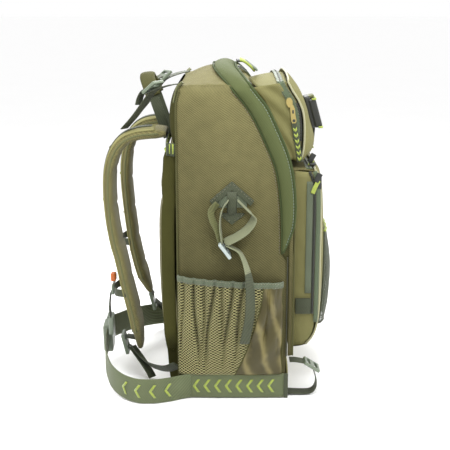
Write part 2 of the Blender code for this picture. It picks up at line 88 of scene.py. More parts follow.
LOWER_BULGE = mm((-114, 69), (-126, 80), (-133, 100), (-137, 130), (-139.5, 200), (-139, 260), (-135, 305),
                 (-130, 328), (-121.5, 336.5))


# ---- curves and meshes ----

def vectors(points):
    return [Vector(point) for point in points]


def length_of(path):
    return sum((b - a).length for a, b in zip(path, path[1:]))


def shares(count):
    """Shares from 0 to 1 in this many equal steps."""
    return [i / count for i in range(count + 1)]


def spread(count):
    """Shares from -1 to 1 in this many equal steps."""
    return [2 * i / count - 1 for i in range(count + 1)]


def mirrored(points):
    """A path that ends in the middle, carried on to the other side."""
    return points + [(-x, y, z) for x, y, z in reversed(points[:-1])]


def smooth(points, steps=4):
    """Points on a Catmull-Rom curve through the given ones."""
    knots = vectors(points)
    knots = [2 * knots[0] - knots[1], *knots, 2 * knots[-1] - knots[-2]]
    found = []
    for i in range(1, len(knots) - 2):
        a, b, c, d = knots[i - 1:i + 3]
        for step in range(steps):
            t = step / steps
            found.append(0.5 * (2 * b + (c - a) * t + (2 * a - 5 * b + 4 * c - d) * t * t
                                + (3 * b - a - 3 * c + d) * t ** 3))
    found.append(knots[-2])
    return found


def even(points, count):
    """Count points at equal distances along a line of points."""
    points = vectors(points)
    lengths = [0.0]
    for a, b in zip(points, points[1:]):
        lengths.append(lengths[-1] + (b - a).length)
    found, j = [], 0
    for i in range(count):
        want = lengths[-1] * i / (count - 1)
        while j < len(points) - 2 and lengths[j + 1] < want:
            j += 1
        span = max(lengths[j + 1] - lengths[j], 1e-9)
        found.append(points[j].lerp(points[j + 1], min(1.0, (want - lengths[j]) / span)))
    return found


def in_plane(points, x):
    """(y, z) points as places at this x."""
    return [Vector((x, y, z)) for y, z in points]


def smooth_yz(points, steps):
    return [(p.x, p.y) for p in smooth([(y, z, 0) for y, z in points], steps)]


def even_yz(points, count, steps=5):
    """Count (y, z) points at equal distances along a smooth curve."""
    return [(p.y, p.z) for p in even(in_plane(smooth_yz(points, steps), 0), count)]


def tangents(path):
    return [(path[min(i + 1, len(path) - 1)] - path[max(i - 1, 0)]).normalized() for i in range(len(path))]


def add_object(name, data):
    obj = bpy.data.objects.new(name, data)
    bpy.context.scene.collection.objects.link(obj)
    return obj


def finish_mesh(name, bm, mat, body, replaced=(), smooth_angle=None):
    """Makes the piece from its faces, and fixes it to a body of the CAD model."""
    bmesh.ops.recalc_face_normals(bm, faces=bm.faces)
    mesh = bpy.data.meshes.new(name)
    bm.to_mesh(mesh)
    bm.free()
    mesh.shade_smooth()
    if smooth_angle:
        mesh.set_sharp_from_angle(angle=radians(smooth_angle))
    obj = add_object(name, mesh)
    mesh.materials.append(mat)
    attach(obj, body)
    if replaced:
        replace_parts(obj, *replaced)
    return obj


def loft(name, rows, mat, body, thickness=0.0, replaced=(), closed=False, caps=False, offset=0.0, detail=0):
    """A surface through rows of points; closed joins each row's ends, thickness makes it solid."""
    bm = bmesh.new()
    grid = [[bm.verts.new(point) for point in row] for row in rows]
    count = len(grid[0])
    for low, high in zip(grid, grid[1:]):
        for i in range(count if closed else count - 1):
            k = (i + 1) % count
            bm.faces.new((low[i], low[k], high[k], high[i]))
    if caps:
        bm.faces.new(grid[0])
        bm.faces.new(grid[-1])
    obj = finish_mesh(name, bm, mat, body, replaced)
    if thickness:
        shell = obj.modifiers.new("thickness", "SOLIDIFY")
        shell.thickness = thickness
        shell.offset = offset
    if detail:
        fine = obj.modifiers.new("fine", "SUBSURF")
        fine.levels = fine.render_levels = detail
    return obj


def sweep(name, path, frames, rings, mat, body, replaced=()):
    """A closed tube: one ring of points for each point of the path, with flat ends."""
    rows = [[point + a * side + b * up for a, b in ring] for point, (side, up), ring in zip(path, frames, rings)]
    return loft(name, rows, mat, body, 0.0, replaced, closed=True, caps=True)


def frames_along(path, side):
    """The direction across and the direction out of the face at each point, given the rough sideways direction."""
    found = []
    ways = side if isinstance(side, list) else [side] * len(path)
    for along, way in zip(tangents(path), ways):
        across = (Vector(way) - along * along.dot(Vector(way))).normalized()
        found.append((across, along.cross(across)))
    return found


def rounded_ring(width, thick, power=4.0, count=20):
    """A flat section with soft edges, as (across, out)."""
    ring = []
    for i in range(count):
        angle = 2 * pi * i / count
        c, s = cos(angle), sin(angle)
        ring.append((copysign(abs(c) ** (2 / power), c) * width / 2,
                     copysign(abs(s) ** (2 / power), s) * thick / 2))
    return ring


def band(name, path, side, width, mat, body, replaced=(), thick=WEB, power=5.0, count=12):
    """Webbing, or a padded strap, with rounded edges along a path."""
    path = vectors(path)
    ring = rounded_ring(width, thick, power, count)
    return sweep(name, path, frames_along(path, side), [ring] * len(path), mat, body, replaced)


def strap(name, points, side, width, mat, body, replaced=(), steps=6, **section):
    """A band along a smooth curve through a few points."""
    return band(name, smooth(points, steps), side, width, mat, body, replaced, **section)


def tube(name, path, radius, mat, body):
    """A round cord or piping."""
    path = vectors(path)
    along = (path[-1] - path[0]).normalized()
    rough = Vector((0.31, 0.77, 0.55)) if abs(along.x) > 0.5 else Vector((1, 0.1, 0.07))
    ring = rounded_ring(2 * radius, 2 * radius, 2.0, 8)
    return sweep(name, path, frames_along(path, rough), [ring] * len(path), mat, body)


def stitches(name, path, out, body="pack", mat=None):
    """A row of thread stitches along a path, standing a little out of the cloth."""
    step, length, thick = 0.0042, 0.0026, 0.00035
    path, out = vectors(path), Vector(out)
    places = even(path, max(3, int(length_of(path) / step)))
    bm = bmesh.new()
    for a, b in zip(places, places[1:]):
        way = (b - a).normalized()
        across = way.cross(out).normalized()
        base = a + out * thick
        corners = [bm.verts.new(base + way * along * length + across * side * thick + out * up * thick)
                   for along, side, up in ((0, -1, 0), (0, 1, 0), (1, 1, 0), (1, -1, 0), (0.5, 0, 1))]
        for i in range(4):
            bm.faces.new((corners[i], corners[(i + 1) % 4], corners[4]))
        bm.faces.new(corners[3::-1])
    return finish_mesh(name, bm, mat or THREAD, body)


def zip_chain(name, path, out, width, tape, body, tape_mat, tooth_mat):
    """A zip: its tape as a flat band, and a row of coil teeth along the middle."""
    path, out = vectors(path), Vector(out)
    band(name + "_tape", path, [way.cross(out) for way in tangents(path)], tape, tape_mat, body,
         thick=0.0012, power=4.0, count=8)
    places = even(path, max(4, int(length_of(path) / 0.0024)))
    bm = bmesh.new()
    for a, b in zip(places, places[1:]):
        way = (b - a).normalized()
        matrix = Matrix((way, way.cross(out).normalized(), out)).transposed().to_4x4()
        matrix.translation = (a + b) / 2 + out * 0.001
        matrix = matrix @ Matrix.Diagonal((0.0014, width, 0.0012, 1.0))
        bmesh.ops.create_cube(bm, size=1.0, matrix=matrix)
    return finish_mesh(name + "_teeth", bm, tooth_mat, body)


# ---- materials ----

def linear(code):
    """A colour written as six hexadecimal digits of sRGB, as linear values."""
    channels = [int(code[i:i + 2], 16) / 255 for i in (0, 2, 4)]
    return tuple(c / 12.92 if c <= 0.04045 else ((c + 0.055) / 1.055) ** 2.4 for c in channels) + (1.0,)


class Nodes:
    """Short names for building a material's node tree."""

    def __init__(self, name, roughness, sheen, specular):
        self.material = bpy.data.materials.new(name)
        self.material.use_nodes = True
        self.tree = self.material.node_tree
        self.shader = self.tree.nodes["Principled BSDF"]
        self.shader.inputs["Roughness"].default_value = roughness
        self.shader.inputs["Sheen Weight"].default_value = sheen
        self.shader.inputs["Specular IOR Level"].default_value = specular
        coordinates = self.tree.nodes.new("ShaderNodeTexCoord").outputs["Object"]
        split = self.add("ShaderNodeSeparateXYZ", coordinates)
        self.place, self.x, self.y, self.z = coordinates, split.outputs[0], split.outputs[1], split.outputs[2]

    def add(self, kind, *sources, **settings):
        node = self.tree.nodes.new(kind)
        for key, value in settings.items():
            setattr(node, key, value)
        for socket, source in zip(node.inputs, sources):
            self.feed(socket, source)
        return node

    def feed(self, socket, source):
        """Links a socket to another node's output, or sets its value."""
        if isinstance(source, bpy.types.NodeSocket):
            self.tree.links.new(source, socket)
        else:
            socket.default_value = source

    def math(self, operation, *values):
        return self.add("ShaderNodeMath", *values, operation=operation).outputs[0]

    def line(self, value, slope, base):
        """The value times the slope, plus the base."""
        return self.math("MULTIPLY_ADD", value, slope, base)

    def wave(self, along, period):
        """A sine of the given period, from 0 to 1."""
        return self.line(self.math("SINE", self.line(along, 2 * pi / period, 0.0)), 0.5, 0.5)

    def noise(self, scale, detail=3.0):
        node = self.add("ShaderNodeTexNoise", self.place)
        node.inputs["Scale"].default_value = scale
        node.inputs["Detail"].default_value = detail
        return node.outputs["Fac"]

    def blend(self, amount, dark, light):
        """A colour between two, each written in hexadecimal or as linear values."""
        node = self.add("ShaderNodeMix", data_type="RGBA")
        self.feed(node.inputs[0], amount)
        for index, code in ((6, dark), (7, light)):
            self.feed(node.inputs[index], linear(code) if isinstance(code, str) else code)
        return node.outputs[2]

    def done(self, colour, height=None, distance=0.0003, strength=0.6, alpha=None):
        self.tree.links.new(colour, self.shader.inputs["Base Color"])
        if height is not None:
            bump = self.add("ShaderNodeBump")
            bump.inputs["Strength"].default_value = strength
            bump.inputs["Distance"].default_value = distance
            self.tree.links.new(height, bump.inputs["Height"])
            self.tree.links.new(bump.outputs[0], self.shader.inputs["Normal"])
        if alpha is not None:
            self.tree.links.new(alpha, self.shader.inputs["Alpha"])
        return self.material


def twill(name, dark, light, period=0.0034, wear=0.35, roughness=0.8, relief=0.0006, painted_top_light=0.0):
    """Woven cloth: slanting ribs broken into short floats, with soft uneven dye; the last argument makes it lighter
    higher up, painted light from above.
    """
    n = Nodes(name, roughness, 0.0, 0.12 if roughness > 0.5 else 0.5)
    across = n.math("ADD", n.x, n.y)
    ribs = n.wave(n.line(across, 0.58, n.z), period)
    floats = n.wave(n.line(n.z, -0.58, across), period * 0.74)
    weave = n.math("MULTIPLY", ribs, n.line(floats, 0.45, 0.55))
    dye = n.line(n.noise(11.0), wear, n.line(n.noise(70.0), 0.25, -0.12))
    amount = n.line(weave, 0.8, dye)
    # Painted light from above: the higher the cloth, the lighter its colour.
    if painted_top_light:
        amount = n.line(amount, 0.75, n.line(n.z, painted_top_light, -0.12 - 0.29 * painted_top_light))
    return n.done(n.blend(amount, dark, light), weave, relief, 0.7)


def satin(name, dark, light):
    """Coated cloth, with a soft broken sheen painted along its creases: thin light streaks as painted highlights over
    the darker cloth.
    """
    n = Nodes(name, 0.42, 0.0, 0.3)
    drift = n.line(n.noise(20.0), 0.04, n.line(n.z, -0.25, n.y))
    # Painted highlights: thin light streaks slanting down across the cloth.
    painted_sheen = n.math("POWER", n.wave(drift, 0.027), 3.0)
    amount = n.line(painted_sheen, 0.75, n.math("MULTIPLY", n.noise(55.0), 0.12))
    return n.done(n.blend(amount, dark, light), painted_sheen, 0.0008, 0.8)


def webbing(name, dark, light):
    """Ribbed webbing: cross ribs with a fine thread grain."""
    period = 0.0026
    n = Nodes(name, 0.66, 0.1, 0.35)
    along = n.math("ADD", n.x, n.y)
    ribs = n.wave(n.line(n.z, 0.5, along), period)
    fine = n.wave(n.line(along, 0.4, n.z), period * 0.8)
    height = n.line(fine, 0.5, ribs)
    amount = n.line(n.noise(35.0), 0.45, n.line(height, 0.4, -0.08))
    return n.done(n.blend(amount, dark, light), height, 0.0005, 0.6)


def net(name, dark, light, period, open_share):
    """Knitted net with flat diamond holes, through which what lies behind it shows; behind the side pocket's net that
    is a dark sheet of painted shade.
    """
    n = Nodes(name, 0.7, 0.1, 0.3)
    across = n.line(n.x, 0.9, n.y)
    rise = n.math("MULTIPLY", n.z, 1.5)
    hole = n.math("MULTIPLY", n.wave(n.math("ADD", across, rise), period),
                  n.wave(n.math("SUBTRACT", across, rise), period))
    alpha = n.math("LESS_THAN", hole, open_share)
    cord = n.math("SUBTRACT", 1.0, hole)
    amount = n.line(cord, 0.8, n.math("MULTIPLY", n.noise(14.0), 0.3))
    return n.done(n.blend(amount, dark, light), cord, 0.0008, 0.8, alpha)


def spacer(name, dark, light):
    """Knitted spacer mesh: a padded cloth with rows of small pores."""
    period = 0.003
    n = Nodes(name, 0.88, 0.15, 0.2)
    across = n.math("ADD", n.x, n.math("MULTIPLY", n.y, 0.7))
    rise = n.line(n.y, 0.4, n.z)
    pore = n.math("MULTIPLY", n.wave(n.math("ADD", across, rise), period),
                  n.wave(n.math("SUBTRACT", across, rise), period))
    amount = n.line(n.noise(12.0), 0.5, n.line(pore, -0.75, 0.55))
    return n.done(n.blend(amount, dark, light), n.math("MULTIPLY", pore, -1.0), 0.0008, 0.8)


def moulded(name, dark, light, roughness):
    """Moulded plastic: a faint grain, and a lighter colour on its sharp edges."""
    n = Nodes(name, roughness, 0.0, 0.5)
    geometry = n.add("ShaderNodeNewGeometry")
    edge = n.math("SMOOTH_MAX", n.line(geometry.outputs["Pointiness"], 3.0, -1.3), 0.0, 0.1)
    amount = n.line(n.noise(45.0), 0.4, edge)
    return n.done(n.blend(amount, dark, light), n.noise(900.0, 1.0), 0.0001, 0.25)


def plain_thread(name, dark, light):
    """Twisted thread, or the fine ribs of a zip's tape."""
    n = Nodes(name, 0.6, 0.3, 0.3)
    ribs = n.wave(n.math("ADD", n.y, n.math("ADD", n.z, n.x)), 0.0012)
    return n.done(n.blend(ribs, dark, light), ribs, 0.0002, 0.4)


# The olive cloth is lighter the higher it is: painted light from above.
OLIVE = twill("olive_twill_cloth", "3b3822", "8c865a", 0.0025, painted_top_light=1.0)
# A darker copy of the olive twill: painted shade for faces in shadow (the back, the base, the backing in the slits
# under the rib, the main zip's slit); also used for narrow piping, seams and the handle's sleeve.
OLIVE_SHADED = twill("olive_twill_shaded", "37361f", "565535", 0.0026)
FRONT_CLOTH = twill("front_cloth_weave", "625f3b", "817e54", 0.002, 0.3, 0.75, 0.0003)
GUSSET = satin("coated_gusset", "3b361b", "7a7148")
MOSS = twill("moss_cloth", "404628", "545c3a", 0.002, 0.3, 0.75, 0.0003)
GREEN_WEB = webbing("green_webbing_tape", "2b3021", "494f38")
RIB_EDGE = twill("rib_edge_tape", "323b24", "485332", 0.002)
TAIL_WEB = webbing("tail_tape", "2c3121", "494f37")
BELT_WEB = webbing("belt_webbing_tape", "444b31", "6a7350")
PALE_WEB = webbing("pale_webbing_tape", "60644c", "888c6c")
OLIVE_WEB = webbing("olive_webbing_tape", "4b4d2e", "6b6d43")
SPACER = spacer("pad_spacer_mesh", "38351d", "827c50")
PAD_CLOTH = twill("pad_cloth", "2d2c13", "484720", 0.002)
STRAP_CLOTH = twill("strap_cloth", "69663f", "8d895c", 0.0018, 0.3, 0.75, 0.0003)
NET = net("khaki_net", "2e2d19", "a29e6d", 0.0064, 0.055)
NET_DARK = net("dark_net", "1f2318", "454b38", 0.0036, 0.3)
PLASTIC = moulded("grey_green_moulding", "485143", "737e6b", 0.3)
PALE_PLASTIC = moulded("pale_grey_moulding", "7b8683", "b6c0bd", 0.2)
BLACK = moulded("black_moulding", "10110f", "2b2d28", 0.42)
PULLER = moulded("beige_moulding", "6f6032", "9f8f55", 0.32)
LIME = plain_thread("lime_thread", "75832f", "a3b14e")
CREAM = plain_thread("cream_piping", "7b795c", "a3a17f")
GREEN_TAPE = plain_thread("green_zip_tape", "3c4733", "57654a")
DARK_TAPE = plain_thread("dark_zip_tape", "1c1e14", "333529")
THREAD = plain_thread("olive_thread", "504f38", "73704f")
TEAL_THREAD = plain_thread("teal_thread", "54655a", "7b8f80")
ORANGE = moulded("orange_moulding", "9a4a12", "cc6c24", 0.4)
# Near-black cloth for the sheet behind the side pocket's net: painted shade in the hollow, not a part of the bag.
SHADE = twill("painted_shade_sheet", "15130a", "2a2716")
PALE_GREEN = webbing("pocket_edge_binding", "434b3a", "656e58")


# ---- bag ----

def puff(t):
    """How far a panel bulges at a share t of the way across it: 0 at its seams, 1 in its middle."""
    return sin(pi * min(max(t, 0.0), 1.0)) ** 0.6


def front_edge_y(z):
    """The side panel's front edge at this height."""
    taper, step = 0.012, 0.0077
    if z <= RIB_END:
        return SEAM_Y if z < RIB_END - taper else SEAM_Y + (z - RIB_END + taper) / taper * step
    line = smooth_yz(SIDE_FRONT, 6)
    for (y0, z0), (y1, z1) in zip(line, line[1:]):
        if z1 <= z <= z0:
            return y1 + (y0 - y1) * (z - z1) / max(z0 - z1, 1e-9)
    return line[0][0]


def back_edge_y(z):
    """The side panel's back edge at this height: it leans forward near the top."""
    return BACK_Y - 0.007 * max(0.0, (z - 0.4275) / 0.03) ** 1.5


def side_wrinkle(y, z):
    """Soft folds of the cloth: long diagonal ones near the strap and shallow ones above the pocket."""
    folds = 0.0022 * sin(46 * y + 31 * z + 1.3) * exp(-((z - 0.22) / 0.06) ** 2)
    folds += 0.0009 * sin(95 * (z - 0.5 * y) + 0.6) * exp(-((y + 0.02) / 0.05) ** 2)
    folds += 0.0008 * sin(150 * y + 40 * z) * exp(-((z - 0.43) / 0.02) ** 2)
    folds -= 0.0035 * exp(-((y - 0.022 - 0.3 * (z - 0.23)) / 0.012) ** 2 - ((z - 0.222) / 0.035) ** 2)
    return folds - 0.005 * exp(-((y - 0.0095) / 0.017) ** 4 - ((z - 0.23) / 0.018) ** 4)


def side_panels():
    for side, sign in SIDES:
        rows = []
        for v in shares(55):
            z = 0.0048 + (SIDE_TOP - 0.0058) * v
            front = front_edge_y(min(z, 0.449)) if z < 0.449 else -0.0015 + (z - 0.449) * 0.4
            back = back_edge_y(z)
            row = []
            for u in shares(33):
                y = back + (front - back) * u
                out = 0.0062 * puff(u) * puff(0.5 * v + 0.08 if v < 0.84 else (1 - v) / 0.32)
                out += side_wrinkle(y, z) * puff(u) - 0.0065 * max(0.0, (z - 0.44) / 0.017) ** 2
                row.append((sign * (HALF - 0.0012 + out), y, z))
            rows.append(row)
        loft(f"side_cloth_{side}", rows, OLIVE, "pack", 0.0022, [f"side_panel_{side}"])
        rear = [(sign * (HALF + 0.0005), back_edge_y(z), z)
                for z in (0.006, 0.05, 0.1, 0.2, 0.3, 0.38, 0.4275, 0.44, 0.452)]
        tube(f"rear_seam_{side}", smooth(rear, 4), 0.0016, OLIVE_SHADED, "pack")
        seam = [(sign * (HALF + 0.0012), y + 0.0035, z) for y, z in smooth_yz(SIDE_FRONT, 4)]
        stitches(f"side_stitch_{side}", seam, (sign, 0, 0))


def top_and_back():
    bend, y_bend = 0.22, 0.0712         # where the top cloth turns down to the back panel
    rows = []
    for t in shares(19):
        row = []
        for u in spread(32):
            rise = 1 - u * u
            y_front = -0.001 + 0.028 * rise
            if t < bend:
                k = t / bend
                y = y_bend + 0.006 * (1 - k ** 2)
                z = 0.43 + 0.027 * sin(k * pi / 2)
            else:
                k = (t - bend) / (1 - bend)
                y = y_bend + (y_front - y_bend) * k
                z = 0.457 + 0.019 * rise * k + 0.0045 * puff(k) * puff((u + 1) / 2)
            row.append((u * (HALF - 0.0062), y, z + 0.0004 * sin(60 * u + 25 * k)))
        rows.append(row)
    loft("top_cloth", rows, OLIVE, "pack", 0.0022, ["top_panel"], offset=-1.0)
    half = HALF - 0.0015
    rows = [[(half * (2 * u - 1), 0.0772 + 0.0012 * puff(u), 0.005 + 0.424 * j / 23) for u in shares(24)]
            for j in range(24)]
    # The back panel takes the darker olive: painted shade.
    loft("back_cloth", rows, OLIVE_SHADED, "pack", 0.0022, ["back_panel"], offset=-1.0)
    # Sheets behind the slits under the rib's ends, in the darker olive: painted shade seen through the slits.
    for side, sign in SIDES:
        rows = [[(sign * (HALF - 0.0022), y, z) for y in (-0.064, -0.074, -0.08, -0.0868)]
                for z in (0.2, 0.23, 0.26, 0.3)]
        loft(f"seam_backing_{side}", rows, OLIVE_SHADED, "pack", 0.001)
    rows = [[(half * u, SEAM_Y - 0.0002 - 0.003 * puff(j / 7), 0.005 + 0.058 * j / 7) for u in spread(24)]
            for j in range(8)]
    loft("front_sill_cloth", rows, FRONT_CLOTH, "pack", 0.002, ["front_sill"])
    # The base takes the darker olive: painted shade.
    dress("base_panel", OLIVE_SHADED)
    dress("frame_sheet", BLACK)


def rib():
    """The padded green band in one length: up one side, over the top, down the other."""
    face = HALF + 0.001
    edges = list(zip(even_yz(SIDE_FRONT, 30), even_yz(RIB_FRONT, 30)))
    left, right = ([(Vector((sign * face, *back)), Vector((sign * face, *front)), Vector((sign, 0, 0)))
                    for back, front in edges] for _, sign in SIDES)
    stations = left[::-1]               # (back edge, front edge, direction out of the pad)
    for u in spread(40)[1:-1]:
        rise = 1 - abs(u) ** 2.6
        x = copysign(abs(u) ** 0.8, u) * face
        back = Vector((x, -0.002 + 0.03 * rise, 0.451 + 0.027 * rise))
        front = Vector((x, -0.026 + 0.02 * rise, 0.457 + 0.02 * rise))
        lean = Vector((u ** 5, -0.1, 1.0 - abs(u) ** 6)).normalized()
        stations.append((back, front, lean))
    stations += right
    rows = []
    for i, (back, front, out) in enumerate(stations):
        swell = min(1.0, 0.3 + min(i, len(stations) - 1 - i) / 7.0)
        row = [back.lerp(front, t) + out * 0.0075 * swell * sin(pi * t) ** 0.7 for t in shares(8)]
        rows.append(row + [back.lerp(front, 1 - t) - out * 0.0035 for t in shares(8)[1:-1]])
    pad = loft("padded_rib", rows, MOSS, "pack", 0.0, ["flap_pad_left", "flap_pad_right", "flap_pad_top"],
               closed=True, caps=True, detail=1)
    for name, edge, lift, width in (("front", 1, 0.0014, 0.0036), ("back", 0, 0.001, 0.002)):
        line = [station[edge] + station[2] * lift for station in stations]
        ways = [way.cross(station[2]) for way, station in zip(tangents(line), stations)]
        band(f"rib_binding_{name}", line, ways, width, RIB_EDGE, "pack", thick=0.0026, power=2.6, count=10)
    for side, sign, part in (("left", -1, stations[:30]), ("right", 1, stations[:-31:-1])):
        line = [front.lerp(back, 0.13) + out * 0.0044 * min(1.0, 0.3 + k / 7)
                for k, (back, front, out) in enumerate(part)]
        stitches(f"rib_stitch_{side}", line, (sign, 0, 0), mat=TEAL_THREAD)


def pad_half(z):
    """Half the width over both back pads: narrower at the foot, where the straps are sewn on."""
    foot, growth = 0.118, 0.029
    return foot + growth * min(1.0, max(0.0, (z - 0.062) / 0.035)) ** 0.7


def back_pads():
    channel = 0.014                     # half the width of the air channel between the pads
    profile = mm((80, 10), (89.5, 19), (100, 78), (105, 117), (107.8, 175), (108, 212), (107.4, 258), (104, 288),
                 (99.5, 296), (103.6, 306), (103.6, 315), (99, 345), (95.5, 360), (80, 364))
    line = in_plane(even_yz(profile, 54), 0)
    for side, sign in SIDES:
        rows = []
        for place in line:
            row = []
            for u in shares(16):
                depth = (place.y - PAD_Y) * (puff(u * 0.96 + 0.02) ** 0.45)
                row.append((sign * (channel + (pad_half(place.z) - channel) * u), PAD_Y + depth, place.z))
            rows.append(row)
        pad = loft(f"back_pad_{side}", rows, SPACER, "pack", 0.0, ["back_pad"], detail=1)
        wall = [Vector((sign * (pad_half(place.z) - 0.0004), 0.079 + 0.42 * (place.y - PAD_Y), place.z))
                for place in line[1:-1]]
        band(f"back_pad_wall_{side}", wall, (0, 1, 0), 0.019, PAD_CLOTH, "pack", thick=0.0022, power=3.0)
    rows = [[(-0.015 + 0.03 * u, 0.08 + 0.002 * puff(u), 0.012 + 0.35 * v) for u in shares(6)] for v in shares(16)]
    loft("back_channel", rows, PAD_CLOTH, "pack", 0.001)
    rows = [[(-0.14 + 0.28 * u, 0.0765 + 0.0155 * puff(v * 0.96 + 0.03) * puff(u) ** 0.3, 0.364 + 0.09 * v)
             for u in shares(28)] for v in shares(13)]
    loft("yoke_pad", rows, PAD_CLOTH, "pack", 0.0, ["back_yoke"], detail=1)
    path = smooth(mirrored(mm((-150, 79, 368), (-148, 87, 369), (-138, 92.5, 370), (0, 95.5, 370))), 8)
    band("yoke_band", path, (0, 0, 1), 0.018, GREEN_WEB, "pack")
    chevrons("yoke_pattern", path, (0, 0, -1), 0.013, 0.0075, "pack", lift=0.0013, margin=0.001)
    for side, sign in SIDES:
        for k, y in enumerate((0.0825, 0.0875)):
            x = sign * (0.1507 - 0.25 * (y - 0.079))
            dash = [(x, y, 0.363), (x, y, 0.37), (x, y, 0.377)]
            band(f"yoke_dash_{side}_{k}", dash, (0, 1, 0), 0.0026, LIME, "pack")


def chevrons(name, path, up, height, step, body, lift=0.0012, margin=0.008, both=False):
    """A generic woven pattern: a row of small V shapes in lime thread along a band."""
    path, up = vectors(path), Vector(up)
    places = even(path, max(3, int((length_of(path) - 2 * margin) / step)))
    bm = bmesh.new()
    for a, b in zip(places[1:], places[2:]):
        way = (b - a).normalized()
        rise = (up - way * way.dot(up)).normalized()
        for face in ((1, -1) if both else (1,)):
            out = rise.cross(way) * face
            tip, thick, drop = a + out * lift + way * step * 0.55, way * 0.0042, out * 0.0005
            for half in (-1, 1):
                end = a + out * lift + rise * half * height / 2
                corners = [tip, tip + thick, end + thick, end]
                low = [bm.verts.new(corner - drop) for corner in corners]
                high = [bm.verts.new(corner) for corner in corners]
                bm.faces.new(high)
                bm.faces.new(low[::-1])
                for i in range(4):
                    bm.faces.new((low[i], low[(i + 1) % 4], high[(i + 1) % 4], high[i]))
    return finish_mesh(name, bm, LIME, body)


POCKET_FOLDS = ((0.055, 0.03, 0.004, 0.1), (0.15, 0.2, 0.0066, 0.05), (0.262, 0.215, 0.005, 0.3),
                (0.345, 0.24, 0.007, 0.05), (0.43, 0.4, 0.0042, 0.45), (0.52, 0.415, 0.0068, 0.12),
                (0.625, 0.52, 0.006, 0.2), (0.7, 0.6, 0.0046, 0.4), (0.79, 0.66, 0.0048, 0.3),
                (0.87, 0.8, 0.005, 0.2), (0.94, 0.95, 0.003, 0.1))


def pocket_depth(u, v):
    """How far the gathered pocket stands off the side at a share u along it and v up it."""
    body = (1 - (2 * u - 1) ** 2) ** 0.45
    slack = 0.4 + 0.6 * sin(0.5 * pi * min(1.0, 1.6 * v))
    out = 0.018 * body * slack
    for top, low, depth, reach in POCKET_FOLDS:
        centre = low + (top - low) * v + 0.008 * sin(7 * v + 40 * top)
        strength = min(1.0, max(0.0, (v - reach * 0.4) / 0.35)) * min(1.0, (1.06 - v) / 0.14)
        deep = 1.5 if top < 0.7 else 0.6
        out -= deep * depth * strength * exp(-((u - centre) / 0.0135) ** 2) * min(1.0, 5 * body)
    return max(out + 0.0007 * sin(40 * u + 9 * v), 0.0)


def side_pocket(side, sign):
    """Gathered net with folds falling from an elastic mouth, over a dark sheet of painted shade, and a coated front
    gusset.
    """
    bottom, length, columns = 0.0385, 0.151, 150
    aside = Vector((sign, 0, 0))
    rows, net_rows, gusset_rows, edge = [], [], [], []
    for v in shares(39):
        row = [Vector((sign * (HALF + 0.0024 + pocket_depth(u, v)), BACK_Y - length * u,
                       bottom + (0.1845 - 0.01 * u - bottom) * v)) for u in shares(columns - 1)]
        rows.append(row)
        share = 0.545 + 0.265 * (1 - (1 - v) ** 1.6)
        place = even(row[:int(share * columns) + 1], 110)
        net_rows.append(place)
        rest = even(row[int(share * columns):], 44)
        for t, point in zip(shares(43), rest):
            fold = 0.0062 * (1 - abs(sin(4.2 * t + 5 * v))) ** 1.3 * sin(pi * t)
            fold += 0.0036 * sin(7 * t - 9 * v) * sin(pi * v) ** 0.5
            point.x += sign * (fold * min(1.0, 6 * v, 5 * (1.02 - v)) + 0.0003)
        gusset_rows.append(rest)
        edge.append(place[-1] + aside * 0.0008)
    cloth = loft(f"net_pocket_{side}", net_rows, NET, "pack", 0.0003, [f"mesh_pocket_{side}"])
    # A dark sheet just inside the net: painted shade, seen through its holes and folds.
    loft(f"net_shade_sheet_{side}", [[p - aside * 0.0018 for p in row] for row in net_rows], SHADE, "pack", 0.0004)
    loft(f"pocket_gusset_{side}", gusset_rows, GUSSET, "pack", 0.0008)
    tube(f"gusset_seam_{side}", edge, 0.0009, OLIVE_SHADED, "pack")
    mouth = even(rows[-1], 70)
    band(f"pocket_binding_{side}", [p + Vector((sign * 0.0006, 0, 0.0005)) for p in mouth], (0, 0, 1), 0.0095,
         PALE_GREEN, "pack", thick=0.0026, power=3.0)
    front = [row[-1] + aside * 0.0006 for row in rows]
    tube(f"pocket_front_edge_{side}", front, 0.0012, OLIVE_SHADED, "pack")
    for k, shift in enumerate((0.003, -0.003)):
        line = [p + Vector((sign * 0.0021, 0, 0.0005 + shift)) for p in mouth]
        stitches(f"binding_stitch_{side}_{k}", line, aside)


def side_belt(side, sign):
    """The belt's webbing where it is sewn along the foot of the side."""
    x = sign * (HALF + 0.0036)
    line = smooth([(x + sign * out, y, BELT_Z) for out, y in mm((0, -79), (1, -30), (1, 20), (0, 62))], 8)
    band(f"belt_side_{side}", line, (0, 0, 1), BELT, BELT_WEB, "pack", thick=0.002)
    chevrons(f"belt_side_pattern_{side}", line, (0, 0, -sign), 0.02, 0.0125, "pack", lift=0.0016)
    for k, z in enumerate((0.003, 0.036)):
        stitches(f"belt_side_stitch_{side}_{k}", [(x + sign * 0.0012, y, z) for y in (-0.077, 0.0, 0.061)],
                 (sign, 0, 0))
    block_at(f"belt_corner_{side}", (x + sign * 0.0004, -0.08, BELT_Z), (0.0034, 0.006, BELT), GREEN_WEB, "pack")


def block_at(name, centre, size, mat, body, turn=0.0):
    """A small moulded or folded piece: a box with well rounded edges, turned about X."""
    bm = bmesh.new()
    matrix = Matrix.Translation(centre) @ Matrix.Rotation(turn, 4, "X") @ Matrix.Diagonal((*size, 1))
    bmesh.ops.create_cube(bm, size=1.0, matrix=matrix)
    rounded = finish_mesh(name, bm, mat, body).modifiers.new("rounded", "BEVEL")
    rounded.width = min(size) * 0.3
    rounded.segments = 3


def node_centre(node):
    """The middle of a CAD node's box."""
    low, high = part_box(node)
    return (Vector(low) + Vector(high)) / 2


def dress(node, mat):
    """Gives a CAD node a material of its own."""
    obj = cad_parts[node]
    obj.data.materials.clear()
    obj.data.materials.append(mat)


# ---- front panel and pockets ----

def wall_profile():
    return even_yz(FRONT_WALL, 60)


